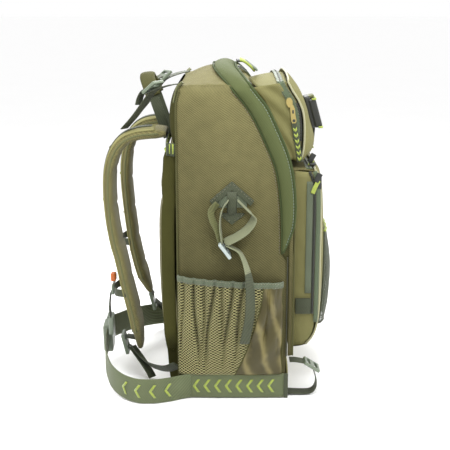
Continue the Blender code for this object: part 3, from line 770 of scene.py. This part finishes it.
def wall_point(u, y, z):
    """A place on the front panel's outer face, u from -1 to 1 across it."""
    half = HALF - 0.001 if z < RIB_END else HALF - 0.006
    bend, top = 0.4268, 0.456
    rise = (1 - u * u) * max(0.0, (z - bend) / (top - bend))
    return Vector((u * half, y + 0.0006 + 0.0165 * rise - 0.0015 * puff((u + 1) / 2), z + 0.0075 * rise))


def front_panel():
    rows = [[wall_point(u, y, z) for u in spread(40)] for y, z in wall_profile()]
    loft("front_cloth", rows, FRONT_CLOTH, "front", 0.004, ["front_panel"], offset=-1.0)
    for side, sign in SIDES:
        strip = [[(sign * (HALF - 0.0006), y + 0.002, z), (sign * (HALF + 0.0003), y + 0.0045, z),
                  (sign * (HALF + 0.0003), SEAM_Y - 0.003, z)] for y, z in wall_profile() if z < 0.3]
        loft(f"front_return_{side}", strip, OLIVE, "front", 0.0012)
        line = [(sign * (HALF - 0.0002), SEAM_Y - 0.0008, z) for z in (0.064, 0.1, 0.14, 0.18, 0.215)]
        # Its tape is the darker olive: the zip's own colour, darkened further as painted shade of the slit it lies
        # in.
        zip_chain(f"main_zip_{side}", smooth(line, 8), (sign, 0, 0), 0.0014, 0.003, "pack", OLIVE_SHADED, DARK_TAPE)
        piping = [wall_point(sign * 0.985, y, z) + Vector((sign * 0.002, -0.0006, 0)) for y, z in wall_profile()]
        tube(f"wall_piping_{side}", piping, 0.0014, OLIVE_SHADED, "front")


def main_zip_top():
    """The main zip along the top: a strip on the front panel that closes the slot below the rib."""
    rows = []
    for t in shares(5):
        row = []
        for u in (0.93 * share for share in spread(40)):
            rise = 1 - abs(u) ** 2.6
            low = wall_point(u, -0.024, 0.456)
            high = Vector((u * HALF, -0.0284 + 0.02 * rise, 0.4556 + 0.02 * rise))
            row.append(low.lerp(high, t) + Vector((0, -0.0012, 0.0006)) * sin(pi * t))
        rows.append(row)
    loft("main_zip_strip", rows, FRONT_CLOTH, "front", 0.0014)
    chain = [low.lerp(high, 0.5) + Vector((0, -0.0008, 0.0)) for low, high in zip(rows[3], rows[4])]
    zip_chain("main_zip_top", chain, (0, -1, 0.25), 0.0016, 0.0052, "front", GREEN_TAPE, DARK_TAPE)


def cover(which, edge, bulge, half, piping):
    """A pocket's puffed front: its border rolls back to the piping, and its middle stands out."""
    rows = []
    for v, (y0, z0), (y1, z1) in zip(shares(43), even_yz(edge, 44), even_yz(bulge, 44)):
        row = []
        for u in spread(48):
            rise = max(0.0, 1 - abs(u) ** 2.6) ** 0.7
            fold = 0.0009 * sin(7 * u + 9 * v) * puff(v) * rise
            row.append((u * half, y0 + (y1 - y0) * rise + fold, z0 + (z1 - z0) * rise))
        rows.append(row)
    body = f"{which}_flap"
    loft(f"{which}_cover_cloth", rows, FRONT_CLOTH, body, 0.0024, [f"{which}_cover"])
    border = [row[0] for row in rows] + rows[-1][1:] + [row[-1] for row in rows[-2::-1]] + rows[0][-2::-1]
    tube(f"{which}_piping", border, piping, CREAM, body)


def pocket_gusset(which, side, sign, back, front, half, crease):
    """A pocket's side wall between its back seam and its zip, slightly hollow, with creases this deep."""
    rows = []
    for a, b in zip(even(in_plane(back, 0), 30), even(in_plane(front, 0), 30)):
        row = []
        for t in shares(16):
            out = half - 0.0012 + (0.0018 + crease * sin(8 * t + 130 * a.z)) * puff(t)
            row.append((sign * out, *a.lerp(b, t).yz))
        rows.append(row)
    loft(f"{which}_side_{side}", rows, FRONT_CLOTH, "front", 0.002, [f"{which}_gusset_{side}"])


def upper_pocket():
    front = [(y + 0.004, z) for y, z in smooth_yz(UPPER_EDGE, 4)]
    back = [(y - 0.001, z) for y, z in wall_profile() if 0.344 < z < 0.456]
    for side, sign in SIDES:
        pocket_gusset("upper", side, sign, back, front, UPPER_HALF, 0.0018)
        line = [(sign * (UPPER_HALF + 0.0012), y + 0.0045, z) for y, z in front if z > 0.372]
        tape = [(x, y + 0.003, z) for x, y, z in line]
        band(f"upper_zip_flap_{side}", tape, (0, 1, 0.25), 0.0105, GREEN_TAPE, "front", thick=0.002, power=3.0)
        for k, shift in enumerate((0.0045, -0.0045)):
            stitches(f"upper_zip_stitch_{side}_{k}", [(x + sign * 0.0011, y + shift, z) for x, y, z in tape],
                     (sign, 0, 0), "front")
        chain = [(x, y - 0.003, z) for x, y, z in line if z < 0.43]
        zip_chain(f"upper_zip_{side}", chain, (sign, 0, 0), 0.0016, 0.0036, "front", DARK_TAPE, BLACK)
    half = UPPER_HALF - 0.001
    rows = [[(half * u, -0.042 - 0.037 * t + 0.015 * (1 - u * u) * (1 - t),
              0.447 + 0.0085 * (1 - u * u) + 0.0085 * t + 0.002 * puff(t)) for u in spread(24)] for t in shares(11)]
    loft("upper_roof", rows, FRONT_CLOTH, "front", 0.0018, ["upper_gusset_top"])
    line = [(half * u, -0.069 + 0.001 * (1 - u * u), 0.458 + 0.0085 * (1 - u * u)) for u in spread(30)]
    zip_chain("upper_zip_top", line, (0, -0.1, 1), 0.0016, 0.01, "front", GREEN_TAPE, DARK_TAPE)
    cover("upper", UPPER_EDGE, UPPER_BULGE, UPPER_HALF + 0.0025, 0.0015)
    holder()


def holder():
    """The black holder on the upper pocket: a folded patch with a lime edge, and a strip below it."""
    lean = radians(-14)
    dress("strap_holder", BLACK)
    for k, z in enumerate((0.4265, 0.3835)):
        y = -0.13 + (z - 0.405) * 0.26 - 0.004
        path = mirrored([(-0.0185, y + 0.006, z), (-0.017, y, z), (0, y - 0.0004, z)])
        strap(f"holder_edge_{k}", path, (0, 0, 1), 0.003, LIME, "upper_flap", steps=4, thick=0.0022)
    block_at("holder_base", (0, -0.1205, 0.406), (0.03, 0.01, 0.05), BLACK, "upper_flap", turn=lean)
    block_at("holder_strap", (0, -0.119, 0.429), (0.026, 0.015, 0.004), OLIVE_WEB, "upper_flap", turn=lean)
    block_at("holder_tail", (0, -0.1275, 0.37), (0.02, 0.0024, 0.03), BLACK, "upper_flap", turn=radians(4))
    strap("cover_lime_strip", mirrored(mm((-42, -123.6, 356), (0, -124.6, 356))), (0, 0, 1), 0.003, LIME,
          "upper_flap")


def lower_pocket():
    back = [(FRONT_Y - 0.001, z) for z in (0.0665, 0.12, 0.2, 0.28, 0.3335)]
    front = mm((-110, 70), (-120, 85), (-124, 105), (-124.5, 130), (-124.5, 200), (-124.5, 280), (-123.5, 312),
               (-118, 331))
    for side, sign in SIDES:
        pocket_gusset("lower", side, sign, back, smooth_yz(front, 5), LOWER_HALF, 0.0004)
        x = sign * (LOWER_HALF + 0.0026)
        green = [(x, -0.113, z) for z in (0.15, 0.2, 0.25, 0.3, 0.318)]
        band(f"zip_cover_{side}", smooth(green, 4), (0, 1, 0), 0.0095, PALE_GREEN, "front", thick=0.0018)
        chain = mm((-119.5, 118), (-119.8, 150), (-120, 220), (-120, 290), (-117.5, 318), (-112, 332.5))
        zip_chain(f"lower_zip_{side}", smooth(in_plane(chain, x), 6), (sign, 0, 0), 0.0016, 0.0042, "front",
                  DARK_TAPE, BLACK)
        lip = mm((-125.2, 105), (-125.6, 150), (-125.8, 220), (-125.6, 290), (-123.5, 318), (-119.5, 333))
        strap(f"lower_lip_{side}", in_plane(lip, x), (0, 1, 0), 0.0062, GREEN_TAPE, "lower_flap", thick=0.002)
        block_at(f"zip_end_tab_{side}", (x + sign * 0.0008, -0.106, 0.13), (0.0034, 0.023, 0.024), GREEN_WEB, "front")
        seam = [(x - sign * 0.0002, FRONT_Y - 0.0012, z) for z in (0.07, 0.15, 0.25, 0.333)]
        tube(f"lower_back_seam_{side}", smooth(seam, 4), 0.0013, OLIVE_SHADED, "front")
    for name, line in (("lower_gusset_bottom", mm((-86, 65.5), (-102, 67), (-111.5, 69.5))),
                       ("lower_gusset_top", mm((-85, 334), (-104, 335), (-120, 332.5)))):
        rows = [[((LOWER_HALF + 0.0002) * u, y, z + 0.0015 * (1 - u * u)) for u in spread(20)]
                for y, z in smooth_yz(line, 4)]
        loft(name + "_cloth", rows, OLIVE, "front", 0.0018, [name])
    line = [((LOWER_HALF - 0.003) * u, -0.112, 0.3362) for u in spread(30)]
    zip_chain("lower_zip_top", line, (0, 0, 1), 0.0016, 0.009, "front", GREEN_TAPE, BLACK)
    cover("lower", LOWER_EDGE, LOWER_BULGE, LOWER_HALF + 0.0005, 0.0016)
    pouch()


def pouch():
    """A dark net pouch on the lower pocket, with lime piping at its mouth."""
    edge = mm((-134, 88), (-138.5, 120), (-140, 170), (-140, 234))
    bulge = mm((-148, 88), (-154, 120), (-155.6, 178), (-146, 234))
    rows = [[(0.078 * u, y0 + (y1 - y0) * max(0.0, 1 - u * u) ** 0.5 + 0.0008 * sin(19 * u), z0)
             for u in spread(36)] for (y0, z0), (y1, _) in zip(even_yz(edge, 26), even_yz(bulge, 26))]
    pouch_cloth = loft("pouch_net", rows, NET_DARK, "lower_flap", 0.0012, ["front_pouch"])
    tube("pouch_piping", rows[-1], 0.0022, LIME, "lower_flap")
    border = [row[0] for row in reversed(rows)] + rows[0][1:-1] + [row[-1] for row in rows]
    tube("pouch_edge", border, 0.0016, GREEN_WEB, "lower_flap")


# ---- straps ----

def patch(side, sign):
    """The sewn patch over the rod strap: a roof of webbing, a short tab and an arrow tip."""
    x = sign * (HALF + 0.0068)
    roof = mm((31, 298.5), (0.8, 325.5), (-0.8, 325.5), (-31, 298.5), (-26.2, 291.5), (0, 314), (26.2, 291.5))
    plate(f"patch_roof_{side}", roof, x, sign, 0.003, GREEN_WEB, "pack")
    band(f"patch_bar_{side}", [(x - sign * 0.0004, y, 0.2975) for y in (0.021, 0.007, -0.007, -0.021)], (0, 0, 1),
         0.0175, PALE_GREEN, "pack")
    band(f"patch_tab_{side}", [(x + sign * 0.0014, 0, z) for z in (0.312, 0.3, 0.29, 0.279)], (0, 1, 0), 0.0135,
         GREEN_WEB, "pack", thick=0.0026)
    outline = mm((17.5, 281), (17.5, 278.5), (0, 264.5), (-17.5, 278.5), (-17.5, 281))
    plate(f"patch_arrow_{side}", outline, x, sign, 0.003, GREEN_WEB, "pack")
    for name, y, low, high in (("roof", 0.0285, 0.2982, 0.3236), ("arrow", 0.015, 0.2795, 0.2672)):
        for k, way in enumerate((1, -1)):
            line = in_plane([(way * y, low), (0, high)], x + sign * 0.0015)
            stitches(f"{name}_stitch_{side}_{k}", line, (sign, 0, 0))


def plate(name, outline, x, sign, thick, mat, body):
    """A flat piece lying against the side, cut to an outline given as (y, z)."""
    bm = bmesh.new()
    low = [bm.verts.new((x - sign * thick / 2, y, z)) for y, z in outline]
    high = [bm.verts.new((x + sign * thick / 2, y, z)) for y, z in outline]
    bm.faces.new(low)
    bm.faces.new(high)
    for i in range(len(outline)):
        k = (i + 1) % len(outline)
        bm.faces.new((low[i], low[k], high[k], high[i]))
    return finish_mesh(name, bm, mat, body, smooth_angle=30)


def rod_strap(side, sign):
    """The rod holder: a loop of webbing through its lock, and a tail hanging over the side pocket."""
    x = sign * (HALF + 0.0145)
    left = mm((5, 301), (12.5, 290), (16, 276), (16.5, 262), (15, 250), (13.5, 238))
    under = on_side(sign, (165.5, 20, 296), (167.5, 29, 285), (169.5, 27, 272), (169.5, 20, 257), (169.5, 15, 240))
    right = on_side(sign, (169.5, -8, 301), (169.5, -19, 290), (169.5, -29.5, 279), (169.5, -29, 270),
                    (169.5, -20, 258), (169.5, -6, 248), (169.5, 9, 240), (169.5, 4, 235), (169.5, -9, 228),
                    (173.5, -16, 218), (177.5, -22, 200), (178.5, -25.2, 180), (179.5, -26.2, 160),
                    (179.5, -25, 130), (178.5, -18, 92))
    tilt = (sign * 0.8, -0.42, -0.42)
    body = f"rod_loop_{side}"
    strap(f"rod_loop_cloth_{side}", in_plane(left, x), (sign, 0.15, -0.1), STRAP * 0.7, PALE_WEB, body)
    strap(f"rod_loop_under_{side}", under, (sign * 0.5, 0.8, 0.3), 0.011, OLIVE_WEB, body)
    ways = [tilt] * 7 + [(sign, 0.1, 0), (sign, 0.15, 0), (sign, 0.3, 0), (sign * 0.9, 0.5, 0),
                         (sign * 0.65, 0.75, 0), (sign * 0.5, 0.85, 0), (sign * 0.45, 0.9, 0), (sign * 0.4, 0.9, 0)]
    line, across = smooth(right, 6), smooth(ways, 6)
    # The same webbing is pale in its loop and darker in its hanging tail.
    band(f"rod_loop_arm_{side}", line[:62], across[:62], STRAP * 0.8, PALE_WEB, body, [f"rod_strap_{side}"])
    band(f"rod_tail_cloth_{side}", line[61:], across[61:], STRAP * 0.8, TAIL_WEB, body)
    dress(f"rod_lock_{side}", PALE_PLASTIC)


def bottom_strap(side, sign):
    x = sign * 0.14
    low = mm((-80.4, 3.4), (-100, 2.2), (-118, 3.2), (-125, 11), (-126.2, 22), (-124, 31), (-121.5, 39.5))
    strap(f"bottom_strap_{side}", in_plane(low, x), (1, 0, 0), STRAP, GREEN_WEB, "pack", [f"bottom_web_{side}"])
    high = mm((-86, 53), (-96, 52.5), (-109, 50))
    strap(f"bottom_strap_top_{side}", in_plane(high, x), (1, 0, 0), STRAP, GREEN_WEB, "pack")
    dress(f"bottom_lock_{side}", PLASTIC)


SHOULDER_LINES = {
    "left": mm((95, 385), (120, 384), (141, 381), (159, 372), (172, 354), (179, 330), (181, 304), (180.5, 281),
               (178, 251), (173, 220), (167, 196), (159, 155), (149, 110), (143, 75), (140.5, 50)),
    "right": mm((95, 385), (120, 383.5), (140, 379), (156, 367), (166, 345), (171, 318), (172, 295), (171, 268),
                (167, 224), (161.5, 181), (154, 145), (145, 115), (136.5, 93)),
}


# Millimetres, for on_side
ANCHOR_LINES = {
    "left": [(145, 80, 46), (131, 99, 34.5), (106, 123, 30), (88, 142, 37), (78, 156, 52)],
    "right": [(145, 80, 48), (131, 94, 46), (108, 107, 50), (90, 116, 56), (78, 127, 70)],
}


def shoulder(side, sign):
    wide, thick, piping, lift = 0.062, 0.0175, 0.03, 0.0092
    x = sign * STRAP_X
    line = even(smooth(in_plane(SHOULDER_LINES[side], x), 5), 76)
    frames = frames_along(line, (1, 0, 0))
    rings = []
    for t in shares(75):
        taper = min(1.0, 0.55 + 5.0 * (1 - t), 0.75 + 6 * t)
        quilt = 1.0 - 0.22 * max(0.0, cos(2 * pi * t * 7)) ** 14
        rings.append(rounded_ring(wide * min(1.0, 0.42 + 6.5 * (1 - t)), thick * taper * quilt, 2.9, 24))
    body = f"shoulder_{side}"
    pad = sweep(f"shoulder_pad_{side}", line, frames, rings, SPACER, body, [f"shoulder_strap_{side}"])
    outer = [place - up * lift for place, (_, up) in zip(line, frames)]
    middle = [place.lerp(face, 0.62) for place, face in zip(line, outer)]
    band(f"strap_cover_{side}", middle[3:-7], (1, 0, 0), 0.061, STRAP_CLOTH, body, thick=0.0062, power=2.3,
         count=20)
    band(f"strap_webbing_{side}", outer[4:-5], (1, 0, 0), STRAP, GREEN_WEB, body)
    for k, edge in enumerate((-piping, piping)):
        tube(f"strap_piping_{side}_{k}", [place + Vector((edge, 0, 0)) for place in line[2:-6]], 0.0017, OLIVE_WEB,
             body)
    for k in (16, 30, 44, 58):
        block_at(f"strap_bartack_{side}_{k}", outer[k] + Vector((0, 0.001, 0)), (STRAP, 0.0012, 0.003),
                 LIME if k == 30 else THREAD, body)
    dress(f"shoulder_lock_{side}", PLASTIC)
    end = line[-1]
    centre = node_centre(f"shoulder_lock_{side}")
    tab = [end + Vector((0, 0.002, 0.012)), end + Vector((0, 0.01, 0.014)),
           Vector((x, centre.y - 0.002, centre.z + 0.01))]
    strap(f"strap_tab_{side}", tab, (1, 0, 0), STRAP, GREEN_WEB, body)
    web = on_side(sign, *ANCHOR_LINES[side])
    strap(f"anchor_strap_{side}", web, (sign * 0.6, 0.35, 0.7), STRAP, GREEN_WEB, f"anchor_{side}",
          [f"anchor_web_{side}"], steps=8)
    tail = [Vector(web[-1]) + Vector(step)
            for step in on_side(sign, (0, -2, -2), (10, -16, -18), (20, -28, -32), (26, -35, -43))]
    strap(f"anchor_tail_{side}", tail, (sign * 0.75, 0.55, 0.1), STRAP * 0.85, GREEN_WEB, f"anchor_{side}")


def load_lifter(side, sign):
    web = on_side(sign, (130, 73, 458.5), (120, 88, 455.5), (108, 110, 447), (100, 124, 430), (92, 140, 409),
                  (84, 157, 390))
    strap(f"lifter_strap_{side}", web, (1, sign * 0.55, 0), STRAP, GREEN_WEB, f"lifter_{side}",
          [f"lifter_web_{side}"], steps=8)
    dress(f"lifter_lock_{side}", PLASTIC)
    tail = on_side(sign, (106, 114, 453), (102, 125, 447), (99, 131, 437), (98.5, 134, 426))
    strap(f"lifter_tail_{side}", tail, (1, sign * 0.55, 0.1), STRAP * 0.9, GREEN_WEB, f"lifter_{side}")
    tab = on_side(sign, (148, 68, 462), (147.5, 73.5, 456), (146.5, 76.5, 446), (146, 79, 434))
    strap(f"corner_tab_{side}", tab, (sign * 0.9, 0.45, 0), 0.011, OLIVE_WEB, "pack", thick=0.0024)


def sternum():
    strap("sternum_strap", in_plane(mm((185, 137), (187.2, 115), (185.8, 96)), -STRAP_X), (1, 0, 0),
          STRAP, GREEN_WEB, "sternum_strap_left", ["sternum_web_left"], steps=8)
    dress("sternum_plug", PLASTIC)
    dress("sternum_socket", PLASTIC)
    for side, sign, z, depth in (("left", -1, 0.144, 0.17), ("right", 1, 0.185, 0.1745)):
        path = [(sign * x, depth + out, z) for x, out in mm((105, -12), (98, 4), (75, 8), (52, 4), (45, -12))]
        strap(f"sternum_loop_{side}", path, (0, 0, 1), 0.012, GREEN_WEB, f"shoulder_{side}")
        block_at(f"sternum_glide_{side}", (sign * STRAP_X, depth + 0.0105, z), (0.026, 0.004, 0.015), PLASTIC,
                 f"shoulder_{side}")
    block_at("whistle", (-STRAP_X, 0.18, 0.162), (0.014, 0.0085, 0.013), ORANGE, "shoulder_left")


def handle():
    half = mm((-29, 96, 370), (-32, 108, 405), (-29, 120, 440), (-15, 127, 457), (0, 128, 462))
    path = smooth(mirrored(half), 8)
    ways = [Vector((0, 1.0, -0.12)) for _ in path]
    band("handle_webbing", path, ways, 0.015, GREEN_WEB, "handle", ["grab_handle"], thick=0.003)
    sleeve = band("handle_sleeve", path[14:51], ways[14:51], 0.023, OLIVE_SHADED, "handle", thick=0.0095, power=2.6,
                  count=16)


def belt():
    routes = {
        "left": mm((-159, 60, 19.5), (-164, 72, 19.5), (-173, 89, 19.5), (-180, 112, 19.5), (-178.5, 137, 19.7),
                   (-164, 160, 21.5), (-140, 179, 27), (-108, 190.5, 37), (-78, 194.5, 47), (-50, 194.5, 53)),
        "right": mm((159, 60, 19.5), (160.2, 75, 19.6), (159, 90, 20), (148, 112, 26), (120, 138, 33),
                    (88, 157, 40), (52, 173, 47), (20, 185, 52), (0, 192.5, 55)),
    }
    for side, sign in SIDES:
        line = smooth(routes[side], 8)
        band(f"belt_webbing_{side}", line, (0, 0, 1), BELT, BELT_WEB, f"belt_{side}", [f"belt_wing_{side}"],
             thick=0.0018)
        chevrons(f"belt_pattern_{side}", line[6:44], (0, 0, -sign), 0.02, 0.0125, f"belt_{side}", lift=0.0022,
                 margin=0.012)
    dress("waist_socket", PLASTIC)
    dress("waist_plug", PLASTIC)


def zip_pulls():
    """Sliders keep their CAD shape; pulls get their cords, grips and ribbons."""
    for side, sign in SIDES:
        dress(f"main_slider_{side}", BLACK)
        dress(f"main_pull_{side}", PLASTIC)
        x = sign * 0.013
        half = mm((-6, -13, 485), (-7, -20, 482.5), (-6, -29, 475.5), (0, -34.5, 469))
        loop = [(x + across, y, z) for across, y, z in mirrored(half)]
        tube(f"main_pull_cord_{side}", smooth(loop, 6), 0.0021, LIME, f"main_zip_pull_{side}")
    body = mm((-79.5, 437), (-83.5, 437), (-86.2, 433), (-86.5, 427), (-84.5, 423.5), (-80.5, 423.5), (-77.8, 428),
              (-77.2, 433.5))
    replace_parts(plate("upper_slider_body", body, -0.1095, -1, 0.005, PULLER, "upper_zip_slider"), "upper_slider")
    x = -0.1105
    shape = mm((-84.5, 426.5), (-87.5, 426.5), (-89.8, 421.5), (-90.5, 414), (-92.5, 404), (-90.5, 401),
               (-86.5, 401), (-85, 404), (-83.8, 414), (-82.8, 421.5))
    puller = plate("upper_puller", shape, x, -1, 0.0036, PULLER, "upper_zip_pull")
    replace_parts(puller, "upper_pull")
    block_at("puller_window", (x - 0.001, -0.0872, 0.4175), (0.0022, 0.0026, 0.0052), BLACK, "upper_zip_pull")
    block_at("puller_eye", (x - 0.001, -0.0887, 0.4048), (0.0022, 0.0042, 0.004), BLACK, "upper_zip_pull")
    ribbon = smooth(in_plane(mm((-88.5, 404), (-92, 385), (-95.5, 365), (-98.5, 345)), x), 8)
    band("upper_ribbon", ribbon, (0, 1, 0), 0.0085, GREEN_WEB, "upper_zip_pull", thick=0.0018)
    chevrons("upper_ribbon_pattern", ribbon, (0, 1, 0), 0.0056, 0.006, "upper_zip_pull", lift=0.0012,
             margin=0.003, both=True)
    for side, sign in SIDES:
        dress(f"lower_slider_{side}", BLACK)
        place = node_centre(f"lower_slider_{side}")
        tag = [place + Vector(step) for step in on_side(sign, (2.2, 0, 4), (2.8, 5, -6), (2.8, 8.5, -15))]
        strap(f"lower_tag_{side}", tag, (0, 1, 0.2), 0.0062, LIME, f"lower_zip_slider_{side}", thick=0.0014)
        block_at(f"lower_pull_{side}", place + Vector((sign * 0.0018, 0.001, 0.008)), (0.0034, 0.008, 0.014),
                 BLACK, f"lower_zip_slider_{side}", turn=0.5)


# ---- camera, light and floor ----

def stage():
    camera = add_object("camera", bpy.data.cameras.new("camera"))
    camera.location = (-1.395, 0.0097, 0.561)
    down = radians(13.55)               # how far it looks below the level
    camera.rotation_mode = "QUATERNION"
    camera.rotation_quaternion = Vector((cos(down), 0, -sin(down))).to_track_quat("-Z", "Y")
    camera.data.lens = 72
    camera.data.sensor_width = 36
    bpy.context.scene.camera = camera
    # Name, place, size in metres, power in watts
    lights = (("left", (-0.5, 0.02, 0.9), 0.5, 6.5), ("right", (0.5, 0.02, 0.9), 0.5, 6.5),
              ("rear", (0.15, 1.15, 0.95), 0.8, 9), ("front", (-0.15, -1.15, 0.95), 0.8, 10))
    for name, place, size, power in lights:
        lamp = add_object(name, bpy.data.lights.new(name, "AREA"))
        lamp.data.size = size
        lamp.data.energy = power
        lamp.location = place
        lamp.rotation_mode = "QUATERNION"
        lamp.rotation_quaternion = (Vector((0, 0, 0.25)) - Vector(place)).to_track_quat("-Z", "Y")
    world = bpy.data.worlds.new("world")
    bpy.context.scene.world = world
    world.use_nodes = True
    colour, strength = world.node_tree.nodes["Background"].inputs[:2]
    colour.default_value = (1, 1, 1, 1)
    strength.default_value = 1.0
    bpy.context.scene.view_settings.view_transform = "Standard"
    floor_mat = Nodes("pale_floor", 0.9, 0.0, 0.1)
    grain = floor_mat.noise(3.0)
    floor_mat.done(floor_mat.blend(grain, (0.97, 0.97, 0.97, 1), (0.99, 0.99, 0.99, 1)))
    bm = bmesh.new()
    bmesh.ops.create_grid(bm, x_segments=1, y_segments=1, size=60.0)
    mesh = bpy.data.meshes.new("floor")
    bm.to_mesh(mesh)
    bm.free()
    floor = add_object("floor", mesh)
    mesh.materials.append(floor_mat.material)
    floor.location.z = -0.0006


def build():
    stage()
    side_panels()
    top_and_back()
    rib()
    back_pads()
    front_panel()
    main_zip_top()
    upper_pocket()
    lower_pocket()
    zip_pulls()
    for side, sign in SIDES:
        side_pocket(side, sign)
        side_belt(side, sign)
        patch(side, sign)
        rod_strap(side, sign)
        bottom_strap(side, sign)
        shoulder(side, sign)
        load_lifter(side, sign)
    sternum()
    handle()
    belt()


build()
